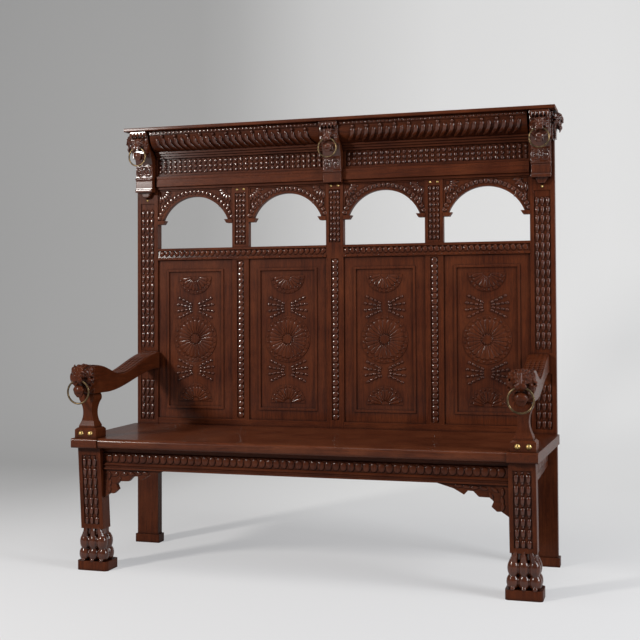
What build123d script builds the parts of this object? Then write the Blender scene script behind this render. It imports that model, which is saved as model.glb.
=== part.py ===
from build123d import *
import math
import os

os.makedirs("parts", exist_ok=True)

# High back bench in carved oak. Millimetres, +X to the sitter's left in a front view,
# +Y to the back, +Z up. The origin is on the floor, at the middle of the bounding box.

# Fits
joint_clearance = 0.1
running_clearance = 0.6
overrun = 2.0

# Overall plan, widths measured across the bench
post_span = 1676.0
post_width = 90.0
post_depth = 36.0
munting_offset = 390.0
munting_width = 70.0
frame_thickness = 28.0
frame_setback = 2.0
arm_reach = 612.0
back_overhang = 8.0

# Heights of the back, from the floor up
plinth_height = 33.0
seat_height = 480.0
bottom_rail_rise = 25.0
bottom_rail_height = 75.0
mid_rail_bottom = 1141.0
mid_rail_height = 47.0
arch_zone_height = 240.0
top_rail_height = 52.0
frieze_height = 100.0
cornice_height = 75.0
top_board_thickness = 13.0

# Joints of the frame
tenon_length = 30.0
tenon_thickness = 9.0
tenon_shoulder = 10.0
groove_depth = 7.0
panel_edge_thickness = 7.0
panel_play = 0.5
peg_radius = 3.5
peg_length = 20.0
peg_inset = 14.0

# Sunk fields of the carved posts and muntings
carving_depth = 3.0
post_field_width = 60.0
post_field_rise = 16.0
post_field_top = 1372.0
arm_seat_low_rise = 220.0
arm_seat_top_rise = 295.0
munting_field_width = 46.0
upper_field_margin_low = 10.0
upper_field_margin_top = 24.0
chain_field_width = 30.0
chain_field_margin = 6.0

# Panels
panel_border = 39.0
panel_setback = 8.0
panel_thickness = 11.0
panel_bead_width = 9.0
panel_bead_height = 4.0
panel_field_sink = 1.5
rosette_radius = 91.0
fan_radius = 70.0
fan_offset = 249.0
relief_height = 2.5
boss_radius = 15.0
boss_height = 4.0

# Arches
arch_setback = 5.0
arch_thickness = 22.0
arch_margin = 20.0
arch_rise = 95.0
impost_width = 34.0
impost_height = 15.0
impost_step = 10.0
impost_projection = 6.0
arch_band_width = 26.0
spandrel_sink = 3.0
spandrel_edge = 6.0

# Mouldings of the head of the back, as projections in front of the posts
top_rail_projection = 11.0
top_rail_fillet = 9.0
frieze_setback = 2.0
frieze_field_height = 60.0
frieze_field_low = 12.0
frieze_fillet_height = 9.0
frieze_fillet_step = 8.0
frieze_fillet_count = 3
gadroon_height = 60.0
gadroon_foot = 26.0
gadroon_projection = 74.0
gadroon_bulge = 9.0
leaf_band_projection = 79.0
top_board_projection = 100.0
top_board_lip = 12.0

# Consoles that carry the lion heads
console_width = 72.0
corbel_width = 72.0
console_block_projection = 32.0
console_block_top = 1527.0
console_ledge_height = 12.0
console_ledge_step = 8.0
console_cap_projection = 94.0
console_cap_height = 17.0
console_neck_projection = 56.0
pendant_length = 20.0
pendant_width = 46.0
pendant_projection = 20.0
cheek_reach = 45.0
cheek_low = 1552.0

# Lion heads of the consoles
head_centre_z = 1590.0
head_centre_projection = 62.0
head_radius = 37.0
muzzle_radius = 20.0
muzzle_rise = 8.0
nose_projection = 108.0
chin_width = 32.0
chin_drop = 34.0
ring_axis_z = 1576.0
ring_plane_projection = 95.0
ring_radius = 35.5
ring_wire_radius = 3.0
ring_drop = 23.5
ring_swing_deg = 95.0

# Side masks
mask_projection = 38.0
mask_plate = 10.0
mask_width = 76.0
mask_height = 100.0
mask_top = 1655.0
mask_nose_radius = 15.0

# Seat
seat_thickness = 34.0
seat_projection = 556.0
seat_nose_radius = 12.0
cleat_projection = 562.0
cleat_inner_x = 726.0
cleat_front_x = 826.0
cleat_rear_x = 848.0
cleat_edge_radius = 7.0
seat_board_split = 300.0
seat_tongue = 9.0
seat_tongue_thickness = 11.0

# Seat frame
apron_height = 79.0
apron_thickness = 24.0
apron_setback = 27.0
apron_bead_height = 23.0
apron_bead_projection = 8.0
apron_cove_height = 18.0
apron_cove_depth = 9.0
side_rail_inset = 10.0
side_rail_thickness = 24.0
rear_rail_height = 75.0
bearer_width = 44.0
bearer_height = 46.0
bearer_offset = 262.0
bracket_thickness = 20.0
bracket_setback = 2.0
bracket_length = 235.0
bracket_height = 104.0

# Front legs
leg_width = 88.0
leg_depth = 55.0
leg_outer_x = 815.0
leg_top_projection = 530.0
leg_rake = 36.0
leg_field_width = 60.0
leg_field_low = 168.0
leg_field_drop = 28.0
paw_height = 128.0
paw_upper_height = 64.0
toe_radius = 18.0
toe_spread = 34.0
ear_share = 0.72
toe_bone_share = 0.8
knuckle_share = 0.9
sinew_share = 0.4
rail_tenon_share = 0.8
side_tenon_share = 0.5
paw_toe_reach = 9.0
front_plinth_width = 122.0
front_plinth_depth = 92.0
front_plinth_lip = 15.0
plinth_corner_radius = 14.0
rear_plinth_lip = 7.0
rear_plinth_radius = 3.0

# Arms
arm_centre_x = 777.0
arm_width = 74.0
arm_top_rise = 290.0
arm_dip_rise = 222.0
arm_crown_rise = 258.0
arm_under_rise = 160.0
arm_root_under_rise = 224.0
arm_neck_reach = 545.0
arm_tenon_length = 24.0
arm_tenon_height = 40.0
arm_tenon_width = 36.0
arm_head_radius = 45.0
arm_head_centre_rise = 210.0
arm_head_projection = 548.0
arm_muzzle_radius = 23.0
arm_muzzle_rise = 9.0
arm_chin_width = 38.0
arm_chin_drop = 34.0
arm_ring_axis_rise = 198.0
arm_ring_projection = 596.0
arm_ring_radius = 41.0
arm_ring_wire_radius = 3.4
arm_ring_drop = 29.0

# Arm supports
support_base_width = 84.0
support_base_depth = 76.0
support_base_height = 37.0
support_projection = 507.0
support_waist_width = 35.0
support_waist_depth = 44.0
support_cap_width = 60.0
support_cap_depth = 60.0
support_cap_height = 30.0
support_moulding_width = 62.0
support_moulding_depth = 56.0
support_moulding_height = 24.0
support_moulding_step = 7.0
support_dowel_radius = 9.0
support_dowel_length = 22.0

# Brass nails
large_nail_radius = 9.5
large_nail_height = 6.0
large_nail_spacing = 36.0
large_nail_rise = 17.0
small_nail_radius = 5.0
small_nail_height = 3.5
small_nail_spacing = 28.0
small_nail_drop = 10.0
corner_nail_z = 1386.0
nail_shank_radius = 1.4
nail_shank_length = 12.0

# Places that follow from the sizes above
post_half_span = post_span / 2
top_board_span = post_span + 2 * top_board_lip
post_inner_x = post_half_span - post_width
post_centre_x = post_half_span - post_width / 2
munting_inner_x = munting_offset - munting_width / 2
munting_outer_x = munting_offset + munting_width / 2
stile_half = munting_width / 2
back_reach = post_depth + back_overhang
post_front_y = (arm_reach - back_reach) / 2
post_back_y = post_front_y + post_depth
frame_front_y = post_front_y + frame_setback
frame_back_y = frame_front_y + frame_thickness
tenon_front_y = frame_front_y + (frame_thickness - tenon_thickness) / 2
arm_top_z = seat_height + arm_top_rise
arm_dip_z = seat_height + arm_dip_rise
arm_crown_z = seat_height + arm_crown_rise
arm_under_z = seat_height + arm_under_rise
arm_root_under_z = seat_height + arm_root_under_rise
arm_head_centre_z = seat_height + arm_head_centre_rise
arm_ring_axis_z = seat_height + arm_ring_axis_rise
arm_seat_low = seat_height + arm_seat_low_rise
arm_seat_top = seat_height + arm_seat_top_rise
post_field_low = seat_height + post_field_rise
bottom_rail_top = seat_height + bottom_rail_rise
bottom_rail_low = bottom_rail_top - bottom_rail_height
mid_rail_top = mid_rail_bottom + mid_rail_height
top_rail_low = mid_rail_top + arch_zone_height
frieze_low = top_rail_low + top_rail_height
cornice_low = frieze_low + frieze_height
cornice_top = cornice_low + cornice_height
overall_height = cornice_top + top_board_thickness
panel_face_y = post_front_y + panel_setback
panel_centre_z = (bottom_rail_top + mid_rail_bottom) / 2
rear_rail_low = bottom_rail_low - rear_rail_height
upright_tenon_length = tenon_length / 2
seat_low = seat_height - seat_thickness
apron_low = seat_low - apron_height
leg_field_top = seat_low - leg_field_drop
leg_inner_x = leg_outer_x - leg_width
leg_centre_x = leg_outer_x - leg_width / 2
leg_front_y = post_front_y - leg_top_projection
apron_front_y = leg_front_y + apron_setback
side_rail_outer_x = leg_outer_x - side_rail_inset
impost_low = top_rail_low - arch_band_width - spandrel_edge - arch_rise - impost_height
springing_z = impost_low + impost_height
arch_back_y = post_front_y + arch_setback + arch_thickness
bay_centres = [
    -(post_inner_x + munting_outer_x) / 2,
    -(munting_inner_x + stile_half) / 2,
    (munting_inner_x + stile_half) / 2,
    (post_inner_x + munting_outer_x) / 2,
]
bay_widths = [
    post_inner_x - munting_outer_x,
    munting_inner_x - stile_half,
    munting_inner_x - stile_half,
    post_inner_x - munting_outer_x,
]


def block(x0, x1, y0, y1, z0, z1):
    """A rectangular block between two corners."""
    return Pos((x0 + x1) / 2, (y0 + y1) / 2, (z0 + z1) / 2) * Box(
        abs(x1 - x0), abs(y1 - y0), abs(z1 - z0)
    )


def rod_y(radius, y0, y1, x, z):
    """A round rod along Y."""
    return Pos(x, (y0 + y1) / 2, z) * Rot(90, 0, 0) * Cylinder(radius, abs(y1 - y0))


def run_along_x(edges, x0, x1):
    """A moulding: a closed outline in the plane x = x0, run to x = x1."""
    return extrude(make_face(edges), amount=x1 - x0, dir=(1, 0, 0))


def outline_yz(x, points):
    """A closed polygon in the plane of one x, from (y, z) points."""
    return Polyline(*[(x, y, z) for y, z in points], close=True)


def outline_xz(y, points):
    """A closed polygon in the plane of one y, from (x, z) points."""
    return Polyline(*[(x, y, z) for x, z in points], close=True)


def mirrored(shape):
    """The same piece on the other side of the bench."""
    return mirror(shape, about=Plane.YZ)


def tenon(x_shoulder, direction, z0, z1, extra=0.0):
    """A stub tenon, or with extra its mortise, on the side that direction names."""
    reach = tenon_length + extra
    x_end = x_shoulder + direction * reach
    return block(
        x_shoulder - direction * extra, x_end,
        tenon_front_y - extra, tenon_front_y + tenon_thickness + extra,
        z0 + tenon_shoulder - extra, z1 - tenon_shoulder + extra,
    )


def upright_tenon(x0, x1, z_shoulder, direction, extra=0.0):
    """A tenon on the end of an upright, or with extra its mortise."""
    return block(
        x0 + tenon_shoulder - extra, x1 - tenon_shoulder + extra,
        tenon_front_y - extra, tenon_front_y + tenon_thickness + extra,
        z_shoulder - direction * extra, z_shoulder + direction * (upright_tenon_length + extra),
    )




def panel_groove(x_face, direction, z0, z1):
    """A groove for a panel's edge in the side of an upright."""
    y0 = panel_face_y + panel_thickness - panel_edge_thickness - joint_clearance
    return block(
        x_face, x_face + direction * (groove_depth + panel_play),
        y0, panel_face_y + panel_thickness + joint_clearance,
        z0 - groove_depth - panel_play, z1 + groove_depth + panel_play,
    )


def rail_groove(x0, x1, z_face, direction):
    """A groove for a panel's edge in the side of a rail."""
    y0 = panel_face_y + panel_thickness - panel_edge_thickness - joint_clearance
    return block(
        x0, x1, y0, panel_face_y + panel_thickness + joint_clearance,
        z_face, z_face + direction * (groove_depth + panel_play),
    )


def peg_places():
    """Where the pegs of the frame stand, as (x, z)."""
    places = []
    rails = [
        (bottom_rail_low, bottom_rail_top),
        (mid_rail_bottom, mid_rail_top),
        (top_rail_low, frieze_low),
    ]
    for side in (-1, 1):
        for z0, z1 in rails:
            places.append((side * (post_inner_x + peg_inset), (z0 + z1) / 2))
        for z0, z1 in rails[:2]:
            places.append((side * (stile_half - peg_inset), (z0 + z1) / 2))
    return places


def peg_holes():
    """The holes that the pegs are driven into, from the back."""
    radius = peg_radius + joint_clearance
    y0 = post_back_y - peg_length - joint_clearance
    return [rod_y(radius, y0, post_back_y + overrun, x, z) for x, z in peg_places()]


def nail_holes():
    """The shank holes of the small nails."""
    radius = nail_shank_radius + joint_clearance
    return [
        rod_y(radius, y - overrun, y + nail_shank_length + joint_clearance, x, z)
        for x, y, z in small_nail_places()
    ]


def small_nail_places():
    """Heads of the small nails, as (x, y of the wood's face, z)."""
    z = top_rail_low - small_nail_drop
    places = []
    for centre in (-munting_offset, 0.0, munting_offset):
        for side in (-1, 1):
            places.append((centre + side * small_nail_spacing / 2, frame_front_y, z))
    for side in (-1, 1):
        places.append((side * post_centre_x, post_front_y, corner_nail_z))
    return places


def large_nail_places():
    """Heads of the large nails on the feet of the arm supports."""
    y = post_front_y - support_projection - support_base_depth / 2
    return [
        (side * arm_centre_x + step * large_nail_spacing / 2, y, seat_height + large_nail_rise)
        for side in (-1, 1)
        for step in (-1, 1)
    ]


def nail(radius, height, x, y, z):
    """A domed nail whose head lies on the face at y and whose shank runs into the wood."""
    sphere_radius = (radius ** 2 + height ** 2) / (2 * height)
    dome = Pos(x, y + sphere_radius - height, z) * Sphere(sphere_radius)
    reach = 2 * sphere_radius
    cap = dome & block(x - reach, x + reach, y - reach, y, z - reach, z + reach)
    return cap + rod_y(nail_shank_radius, y - height / 2, y + nail_shank_length, x, z)


# Rear posts with their sunk carved fields, mortises and grooves
def rear_post():
    post = block(post_inner_x, post_half_span, post_front_y, post_back_y, plinth_height, cornice_top)
    x0 = post_centre_x - post_field_width / 2
    x1 = post_centre_x + post_field_width / 2
    for z0, z1 in ((post_field_low, arm_seat_low), (arm_seat_top, post_field_top)):
        post -= block(x0, x1, post_front_y - overrun, post_front_y + carving_depth, z0, z1)
    for z0, z1 in (
        (bottom_rail_low, bottom_rail_top), (mid_rail_bottom, mid_rail_top),
        (top_rail_low, frieze_low), (frieze_low, cornice_low),
    ):
        post -= tenon(post_inner_x, 1, z0, z1, joint_clearance)
    post -= tenon(post_inner_x, 1, rear_rail_low, rear_rail_low + rear_rail_height, joint_clearance)
    post -= panel_groove(post_inner_x, 1, bottom_rail_top, mid_rail_bottom)
    post -= arch_edge(post_inner_x, 1, joint_clearance)
    post -= side_rail_tenon_rear(joint_clearance)
    post -= arm_root_tenon(joint_clearance)
    post -= peg_holes()
    post -= nail_holes()
    return post




def arch_edge(x_face, direction, extra=0.0):
    """The tongue on an arch board's side, or with extra its groove."""
    y0 = post_front_y + arch_setback + arch_thickness - panel_edge_thickness
    return block(
        x_face, x_face + direction * (groove_depth + extra),
        y0 - extra, arch_back_y + extra, impost_low - extra, top_rail_low + extra,
    )


def rear_plinth():
    plinth = block(
        post_inner_x - rear_plinth_lip, post_half_span + rear_plinth_lip,
        post_front_y - rear_plinth_lip, post_back_y + rear_plinth_lip,
        0.0, plinth_height,
    )
    return fillet(plinth.edges().filter_by(Axis.Z), rear_plinth_radius)


# Rails and uprights of the back
def bottom_rail():
    x0, x1 = stile_half, post_inner_x
    rail = block(x0, x1, frame_front_y, frame_back_y, bottom_rail_low, bottom_rail_top)
    rail += tenon(x0, -1, bottom_rail_low, bottom_rail_top)
    rail += tenon(x1, 1, bottom_rail_low, bottom_rail_top)
    rail -= rail_groove(x0, x1, bottom_rail_top, -1)
    rail -= upright_tenon(munting_inner_x, munting_outer_x, bottom_rail_top, -1, joint_clearance)
    rail -= peg_holes()
    return rail


def mid_rail():
    x0, x1 = stile_half, post_inner_x
    lip = frame_setback
    band_low = mid_rail_bottom + mid_rail_height / 5
    band_top = mid_rail_top - mid_rail_height / 5
    points = [
        (frame_back_y, mid_rail_bottom), (frame_back_y, mid_rail_top),
        (frame_front_y - lip, mid_rail_top), (frame_front_y - lip, band_top),
        (frame_front_y + carving_depth, band_top), (frame_front_y, band_low),
        (frame_front_y - 2 * lip, band_low), (frame_front_y - 2 * lip, mid_rail_bottom),
    ]
    rail = run_along_x(outline_yz(x0, points), x0, x1)
    rail += tenon(x0, -1, mid_rail_bottom, mid_rail_top)
    rail += tenon(x1, 1, mid_rail_bottom, mid_rail_top)
    rail -= rail_groove(x0, x1, mid_rail_bottom, 1)
    rail -= upright_tenon(munting_inner_x, munting_outer_x, mid_rail_bottom, 1, joint_clearance)
    rail -= upright_tenon(munting_inner_x, munting_outer_x, mid_rail_top, -1, joint_clearance)
    rail -= peg_holes()
    return rail


def top_rail():
    fillet_top = frieze_low - top_rail_fillet
    fillet_low = top_rail_low + top_rail_fillet
    front = post_front_y - top_rail_projection
    base = outline_yz(-post_inner_x, [
        (frame_back_y, top_rail_low), (frame_back_y, frieze_low),
        (front, frieze_low), (front, fillet_top),
        (front + top_rail_fillet, fillet_low), (front + top_rail_fillet, top_rail_low),
    ])
    rail = run_along_x(base, -post_inner_x, post_inner_x)
    swell = (fillet_top - fillet_low) / 2
    middle = (fillet_top + fillet_low) / 2
    roll = Pos(0, front + top_rail_fillet, middle) * Rot(0, 90, 0) * Cylinder(swell, 2 * post_inner_x)
    rail += roll & block(
        -post_inner_x, post_inner_x, front, frame_back_y, fillet_low, fillet_top
    )
    for side in (-1, 1):
        rail += tenon(side * post_inner_x, side, top_rail_low, frieze_low)
        rail -= upright_tenon(
            side * munting_offset - stile_half, side * munting_offset + stile_half,
            top_rail_low, 1, joint_clearance,
        )
    rail -= upright_tenon(-stile_half, stile_half, top_rail_low, 1, joint_clearance)
    rail -= corbel_seat(joint_clearance)
    rail -= peg_holes()
    return rail


def corbel_seat(extra):
    """The housing for the middle corbel in the head of the back."""
    half = corbel_width / 2 + extra
    front = post_front_y - top_board_projection
    low = top_rail_low - overrun
    return block(-half, half, front, frame_front_y + frame_setback, low, cornice_top + overrun)


def centre_stile():
    stile = block(-stile_half, stile_half, frame_front_y, frame_back_y, bottom_rail_low, top_rail_low)
    stile += upright_tenon(-stile_half, stile_half, top_rail_low, 1)
    stile += upright_tenon(-stile_half, stile_half, bottom_rail_low, -1)
    half = munting_field_width / 2
    low = mid_rail_top + upper_field_margin_low
    top = top_rail_low - upper_field_margin_top
    stile -= block(-half, half, frame_front_y - overrun, frame_front_y + carving_depth, low, top)
    half = chain_field_width / 2
    low = bottom_rail_top + chain_field_margin
    top = mid_rail_bottom - chain_field_margin
    stile -= block(-half, half, frame_front_y - overrun, frame_front_y + carving_depth, low, top)
    for side in (-1, 1):
        for z0, z1 in ((bottom_rail_low, bottom_rail_top), (mid_rail_bottom, mid_rail_top)):
            stile -= tenon(side * stile_half, -side, z0, z1, joint_clearance)
        stile -= panel_groove(side * stile_half, -side, bottom_rail_top, mid_rail_bottom)
        stile -= arch_edge(side * stile_half, -side, joint_clearance)
    stile -= peg_holes()
    stile -= nail_holes()
    return stile


def munting(z0, z1, field_width, field_low, field_top):
    piece = block(munting_inner_x, munting_outer_x, frame_front_y, frame_back_y, z0, z1)
    piece += upright_tenon(munting_inner_x, munting_outer_x, z0, -1)
    piece += upright_tenon(munting_inner_x, munting_outer_x, z1, 1)
    piece -= block(
        munting_offset - field_width / 2, munting_offset + field_width / 2,
        frame_front_y - overrun, frame_front_y + carving_depth, field_low, field_top,
    )
    return piece


def lower_munting():
    piece = munting(
        bottom_rail_top, mid_rail_bottom, chain_field_width,
        bottom_rail_top + chain_field_margin, mid_rail_bottom - chain_field_margin,
    )
    piece -= panel_groove(munting_inner_x, 1, bottom_rail_top, mid_rail_bottom)
    piece -= panel_groove(munting_outer_x, -1, bottom_rail_top, mid_rail_bottom)
    return piece


def upper_munting():
    piece = munting(
        mid_rail_top, top_rail_low, munting_field_width,
        mid_rail_top + upper_field_margin_low, top_rail_low - upper_field_margin_top,
    )
    piece -= arch_edge(munting_inner_x, 1, joint_clearance)
    piece -= arch_edge(munting_outer_x, -1, joint_clearance)
    piece -= nail_holes()
    return piece


# Carved panels: border, raised rectangle, rosette between two fans
def panel(centre_x, bay_width):
    half = bay_width / 2
    tongue = groove_depth
    face = panel_face_y
    back = face + panel_thickness
    gap = joint_clearance
    plate = block(
        centre_x - half + gap, centre_x + half - gap, face, back,
        bottom_rail_top + gap, mid_rail_bottom - gap,
    )
    plate += block(
        centre_x - half - tongue, centre_x + half + tongue,
        back - panel_edge_thickness, back, bottom_rail_top - tongue, mid_rail_bottom + tongue,
    )
    inner_half = half - panel_border
    z0 = bottom_rail_top + panel_border
    z1 = mid_rail_bottom - panel_border
    bead = panel_bead_width
    plate += block(
        centre_x - inner_half, centre_x + inner_half, face - panel_bead_height, face, z0, z1
    )
    plate -= block(
        centre_x - inner_half + bead, centre_x + inner_half - bead,
        face - panel_bead_height - overrun, face + panel_field_sink, z0 + bead, z1 - bead,
    )
    floor = face + panel_field_sink
    relief_y = floor - relief_height
    plate += rod_y(rosette_radius, relief_y, floor, centre_x, panel_centre_z)
    plate += rod_y(boss_radius, relief_y - boss_height, floor, centre_x, panel_centre_z)
    for side in (-1, 1):
        z = panel_centre_z + side * fan_offset
        fan = rod_y(fan_radius, relief_y, floor, centre_x, z)
        fan &= block(
            centre_x - fan_radius, centre_x + fan_radius, relief_y, floor,
            z, z - side * fan_radius,
        )
        plate += fan
    return plate


# Arch boards with their imposts and sunk spandrels
def arch_board(centre_x, bay_width):
    half = bay_width / 2 - joint_clearance
    front = post_front_y + arch_setback
    arch_half_span = bay_width / 2 - arch_margin
    arch_radius = (arch_half_span ** 2 + arch_rise ** 2) / (2 * arch_rise)
    board = block(
        centre_x - half, centre_x + half, front, arch_back_y, springing_z, top_rail_low
    )
    centre_z = springing_z - arch_radius + arch_rise
    outer = arch_radius + arch_band_width + spandrel_edge / 3
    field_half = half - spandrel_edge
    sunk = block(
        centre_x - field_half, centre_x + field_half, front - overrun, front + spandrel_sink,
        springing_z + spandrel_edge, top_rail_low - spandrel_edge,
    )
    sunk -= rod_y(outer, front - 2 * overrun, front + 2 * spandrel_sink, centre_x, centre_z)
    board -= sunk
    opening = rod_y(arch_radius, front - 2 * impost_projection, arch_back_y + overrun, centre_x, centre_z)
    board -= opening & block(
        centre_x - half, centre_x + half, front - 2 * impost_projection, arch_back_y + overrun,
        springing_z - overrun, top_rail_low,
    )
    for side in (-1, 1):
        wall = centre_x + side * half
        tip = wall - side * impost_width
        heel = wall - side * (impost_width - impost_step)
        y0 = front - impost_projection
        corners = [(wall, impost_low), (heel, impost_low), (tip, springing_z), (wall, springing_z)]
        shape = outline_xz(y0, corners)
        board += extrude(make_face(shape), amount=arch_back_y - y0, dir=(0, 1, 0))
        board += arch_edge(wall, side)
    return board


# Frieze, cornice and top board
def frieze_board():
    front = post_front_y + frieze_setback
    top = cornice_low
    low = frieze_low
    step = frieze_fillet_step
    rise = frieze_fillet_height
    points = [(frame_back_y, low), (frame_back_y, top)]
    for count in range(frieze_fillet_count, 0, -1):
        points.append((front - count * step, top - (frieze_fillet_count - count) * rise))
        points.append((front - count * step, top - (frieze_fillet_count + 1 - count) * rise))
    points += [(front, top - frieze_fillet_count * rise), (front, low)]
    board = run_along_x(outline_yz(-post_inner_x, points), -post_inner_x, post_inner_x)
    z0 = low + frieze_field_low
    console_inner = post_centre_x - console_width / 2
    for side in (-1, 1):
        board -= block(
            side * (stile_half + frieze_field_low), side * (console_inner - frieze_field_low),
            front - overrun, front + carving_depth, z0, z0 + frieze_field_height,
        )
        board += tenon(side * post_inner_x, side, low, top)
    board -= corbel_seat(joint_clearance)
    board -= console_seat(joint_clearance)
    board -= mirrored(console_seat(joint_clearance))
    return board


def console_seat(extra):
    """The space that a corner console takes out of the mouldings."""
    half = console_width / 2 + extra
    return block(
        post_centre_x - half, post_centre_x + half, post_front_y - top_board_projection,
        post_front_y, top_rail_low - overrun, cornice_top + overrun,
    )


def cornice():
    """One half of the cornice: the gadrooned ovolo under a carved leaf band."""
    x0 = corbel_width / 2 + joint_clearance
    x1 = post_inner_x
    foot = post_front_y - gadroon_foot
    crest = post_front_y - gadroon_projection
    low = cornice_low
    high = cornice_low + gadroon_height
    middle_y = (foot + crest) / 2 - gadroon_bulge
    middle_z = (low + high) / 2 - gadroon_bulge
    band_y = post_front_y - leaf_band_projection
    edges = ThreePointArc((x0, foot, low), (x0, middle_y, middle_z), (x0, crest, high))
    edges += Polyline(
        (x0, crest, high), (x0, band_y, high), (x0, band_y, cornice_top),
        (x0, frame_back_y, cornice_top), (x0, frame_back_y, low), (x0, foot, low),
    )
    half = run_along_x(edges, x0, x1)
    half -= console_seat(joint_clearance)
    return half


def top_board():
    half = top_board_span / 2
    board = block(
        -half, half, post_front_y - top_board_projection, post_front_y + back_reach,
        cornice_top, overall_height,
    )
    return fillet(board.edges().filter_by(Axis.X).group_by(Axis.Y)[0], top_board_thickness / 4)


# Consoles with lion heads, and the rings that hang in their mouths
def ring_tunnel(x, y, z, radius, wire, drop):
    """The space that a ring's upper arc needs inside a mouth while it swings forward."""
    outer = radius + wire + running_clearance
    inner = radius - wire - running_clearance
    half = wire + running_clearance
    plane = Plane(origin=(x, y, z), x_dir=(1, 0, 0), z_dir=(0, -1, 0))
    band = plane * (Pos(0, -drop) * (Circle(outer) - Circle(inner)))
    band = band & block(x - outer, x + outer, y - half, y + half, z + half / 4, z + outer)
    low = plane * (Pos(0, -drop) * (Circle(outer) - Circle(inner)))
    slot = extrude(low, amount=half, both=True)
    slot &= block(x - outer, x + outer, y - overrun - half, y + half + overrun, z - 2 * half, z + outer)
    hinge = Axis((x, y, z), (-1, 0, 0))
    return revolve(band, hinge, ring_swing_deg) + slot + slot.rotate(hinge, ring_swing_deg)


def lion_head(x, sizes):
    """A lion's head reduced to skull, muzzle, chin and ears, with its mouth open for the ring."""
    radius, centre_y, centre_z, muzzle, rise, nose_y, chin, chin_low, ring = sizes
    ring_y, ring_z, ring_r, wire, drop = ring
    head = Pos(x, centre_y, centre_z) * Rot(90, 0, 0) * Sphere(radius)
    head += rod_y(muzzle, nose_y, centre_y, x, ring_z + rise)
    head += block(
        x - chin / 2, x + chin / 2, ring_y - wire, centre_y, ring_z - chin_low, ring_z
    )
    ear = radius / 4
    for side in (-1, 1):
        head += Pos(x + side * radius * ear_share, centre_y, centre_z + radius * ear_share) * Sphere(ear)
    return head


def console_profile(x):
    """The side view of a console: cap, hollow neck, block and ledge."""
    back = post_front_y
    cap_y = back - console_cap_projection
    neck_y = back - console_neck_projection
    block_y = back - console_block_projection
    cap_low = cornice_top - console_cap_height
    ledge_y = block_y - console_ledge_step
    ledge_low = top_rail_low - console_ledge_height
    bend_z = (cap_low + console_block_top) / 2
    edges = Polyline((x, block_y, console_block_top), (x, block_y, top_rail_low), (x, ledge_y, top_rail_low),
                     (x, ledge_y, ledge_low), (x, back, ledge_low), (x, back, cornice_top),
                     (x, cap_y, cornice_top), (x, cap_y, cap_low))
    edges += ThreePointArc((x, cap_y, cap_low), (x, neck_y, bend_z), (x, block_y, console_block_top))
    return edges


def console(centre_x, width):
    """A console from under the top board down to its carved pendant, with its lion head."""
    x0 = centre_x - width / 2
    body = run_along_x(console_profile(x0), x0, x0 + width)
    ring = (post_front_y - ring_plane_projection, ring_axis_z, ring_radius, ring_wire_radius, ring_drop)
    head = lion_head(centre_x, (
        head_radius, post_front_y - head_centre_projection, head_centre_z, muzzle_radius,
        muzzle_rise, post_front_y - nose_projection, chin_width, chin_drop, ring,
    ))
    return body + (head - ring_tunnel(centre_x, *ring))


def corner_console():
    body = console(post_centre_x, console_width)
    ledge_low = top_rail_low - console_ledge_height
    top_half = pendant_width / 2
    low_half = pendant_width / 4
    shape = outline_xz(post_front_y - pendant_projection, [
        (post_centre_x - top_half, ledge_low), (post_centre_x + top_half, ledge_low),
        (post_centre_x + low_half, ledge_low - pendant_length),
        (post_centre_x - low_half, ledge_low - pendant_length),
    ])
    body += extrude(make_face(shape), amount=pendant_projection, dir=(0, 1, 0))
    outer = post_centre_x + console_width / 2
    body += block(
        outer, post_half_span, post_front_y - cheek_reach, post_front_y, cheek_low, cornice_top
    )
    return body


def centre_corbel():
    """The middle corbel stands in a housing of the mouldings, so it reaches back to the frame."""
    half = corbel_width / 2
    body = console(0.0, corbel_width)
    low = top_rail_low
    body -= block(-half - overrun, half + overrun, post_front_y - top_board_projection,
                  post_back_y, low - overrun - console_ledge_height, low)
    body += block(-half, half, post_front_y, frame_front_y + frame_setback - joint_clearance,
                  low, cornice_top)
    return body


def side_mask():
    """The small lion mask on the outer side of a corner."""
    x0 = post_half_span
    y = post_front_y - cheek_reach + mask_width / 2
    z = mask_top - mask_height / 2
    plate = Pos(x0 + mask_plate / 2, y, z) * Rot(0, 90, 0) * Cylinder(mask_width / 2, mask_plate)
    plate += block(x0, x0 + mask_plate, y - mask_width / 4, y + mask_width / 4, mask_top - mask_height, z)
    nose_z = z + mask_height / 5
    reach = mask_projection - mask_plate
    plate += Pos(x0 + mask_plate, y, z + mask_plate / 2) * Sphere(mask_width / 3)
    plate += Pos(x0 + mask_plate + reach / 2, y, nose_z) * Rot(0, 90, 0) * Cylinder(mask_nose_radius, reach)
    return plate & block(
        x0, x0 + mask_projection, post_front_y - cheek_reach, post_back_y,
        mask_top - mask_height, mask_top,
    )


def hung_ring(x, y, z, radius, wire, drop):
    return Pos(x, y, z - drop) * Rot(90, 0, 0) * Torus(radius, wire)


# Seat
def seat_board_rear():
    split_y = post_front_y - seat_board_split
    board = block(
        -cleat_inner_x, cleat_inner_x, split_y, frame_front_y, seat_low, seat_height
    )
    board += seat_ends(split_y, frame_front_y)
    board -= seat_joint(split_y, joint_clearance)
    return board


def seat_board_front():
    split_y = post_front_y - seat_board_split
    front = post_front_y - seat_projection
    board = block(-cleat_inner_x, cleat_inner_x, front, split_y, seat_low, seat_height)
    nose = board.edges().filter_by(Axis.X).group_by(Axis.Y)[0]
    board = fillet(nose, seat_nose_radius)
    board += seat_ends(front + 2 * seat_nose_radius, split_y)
    board += seat_joint(split_y, 0.0)
    return board


def seat_joint(split_y, extra):
    """The tongue between the two seat boards, or with extra its groove."""
    middle = (seat_low + seat_height) / 2
    half = seat_tongue_thickness / 2 + extra
    return block(
        -cleat_inner_x, cleat_inner_x, split_y, split_y + seat_tongue + extra, middle - half, middle + half
    )


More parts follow.
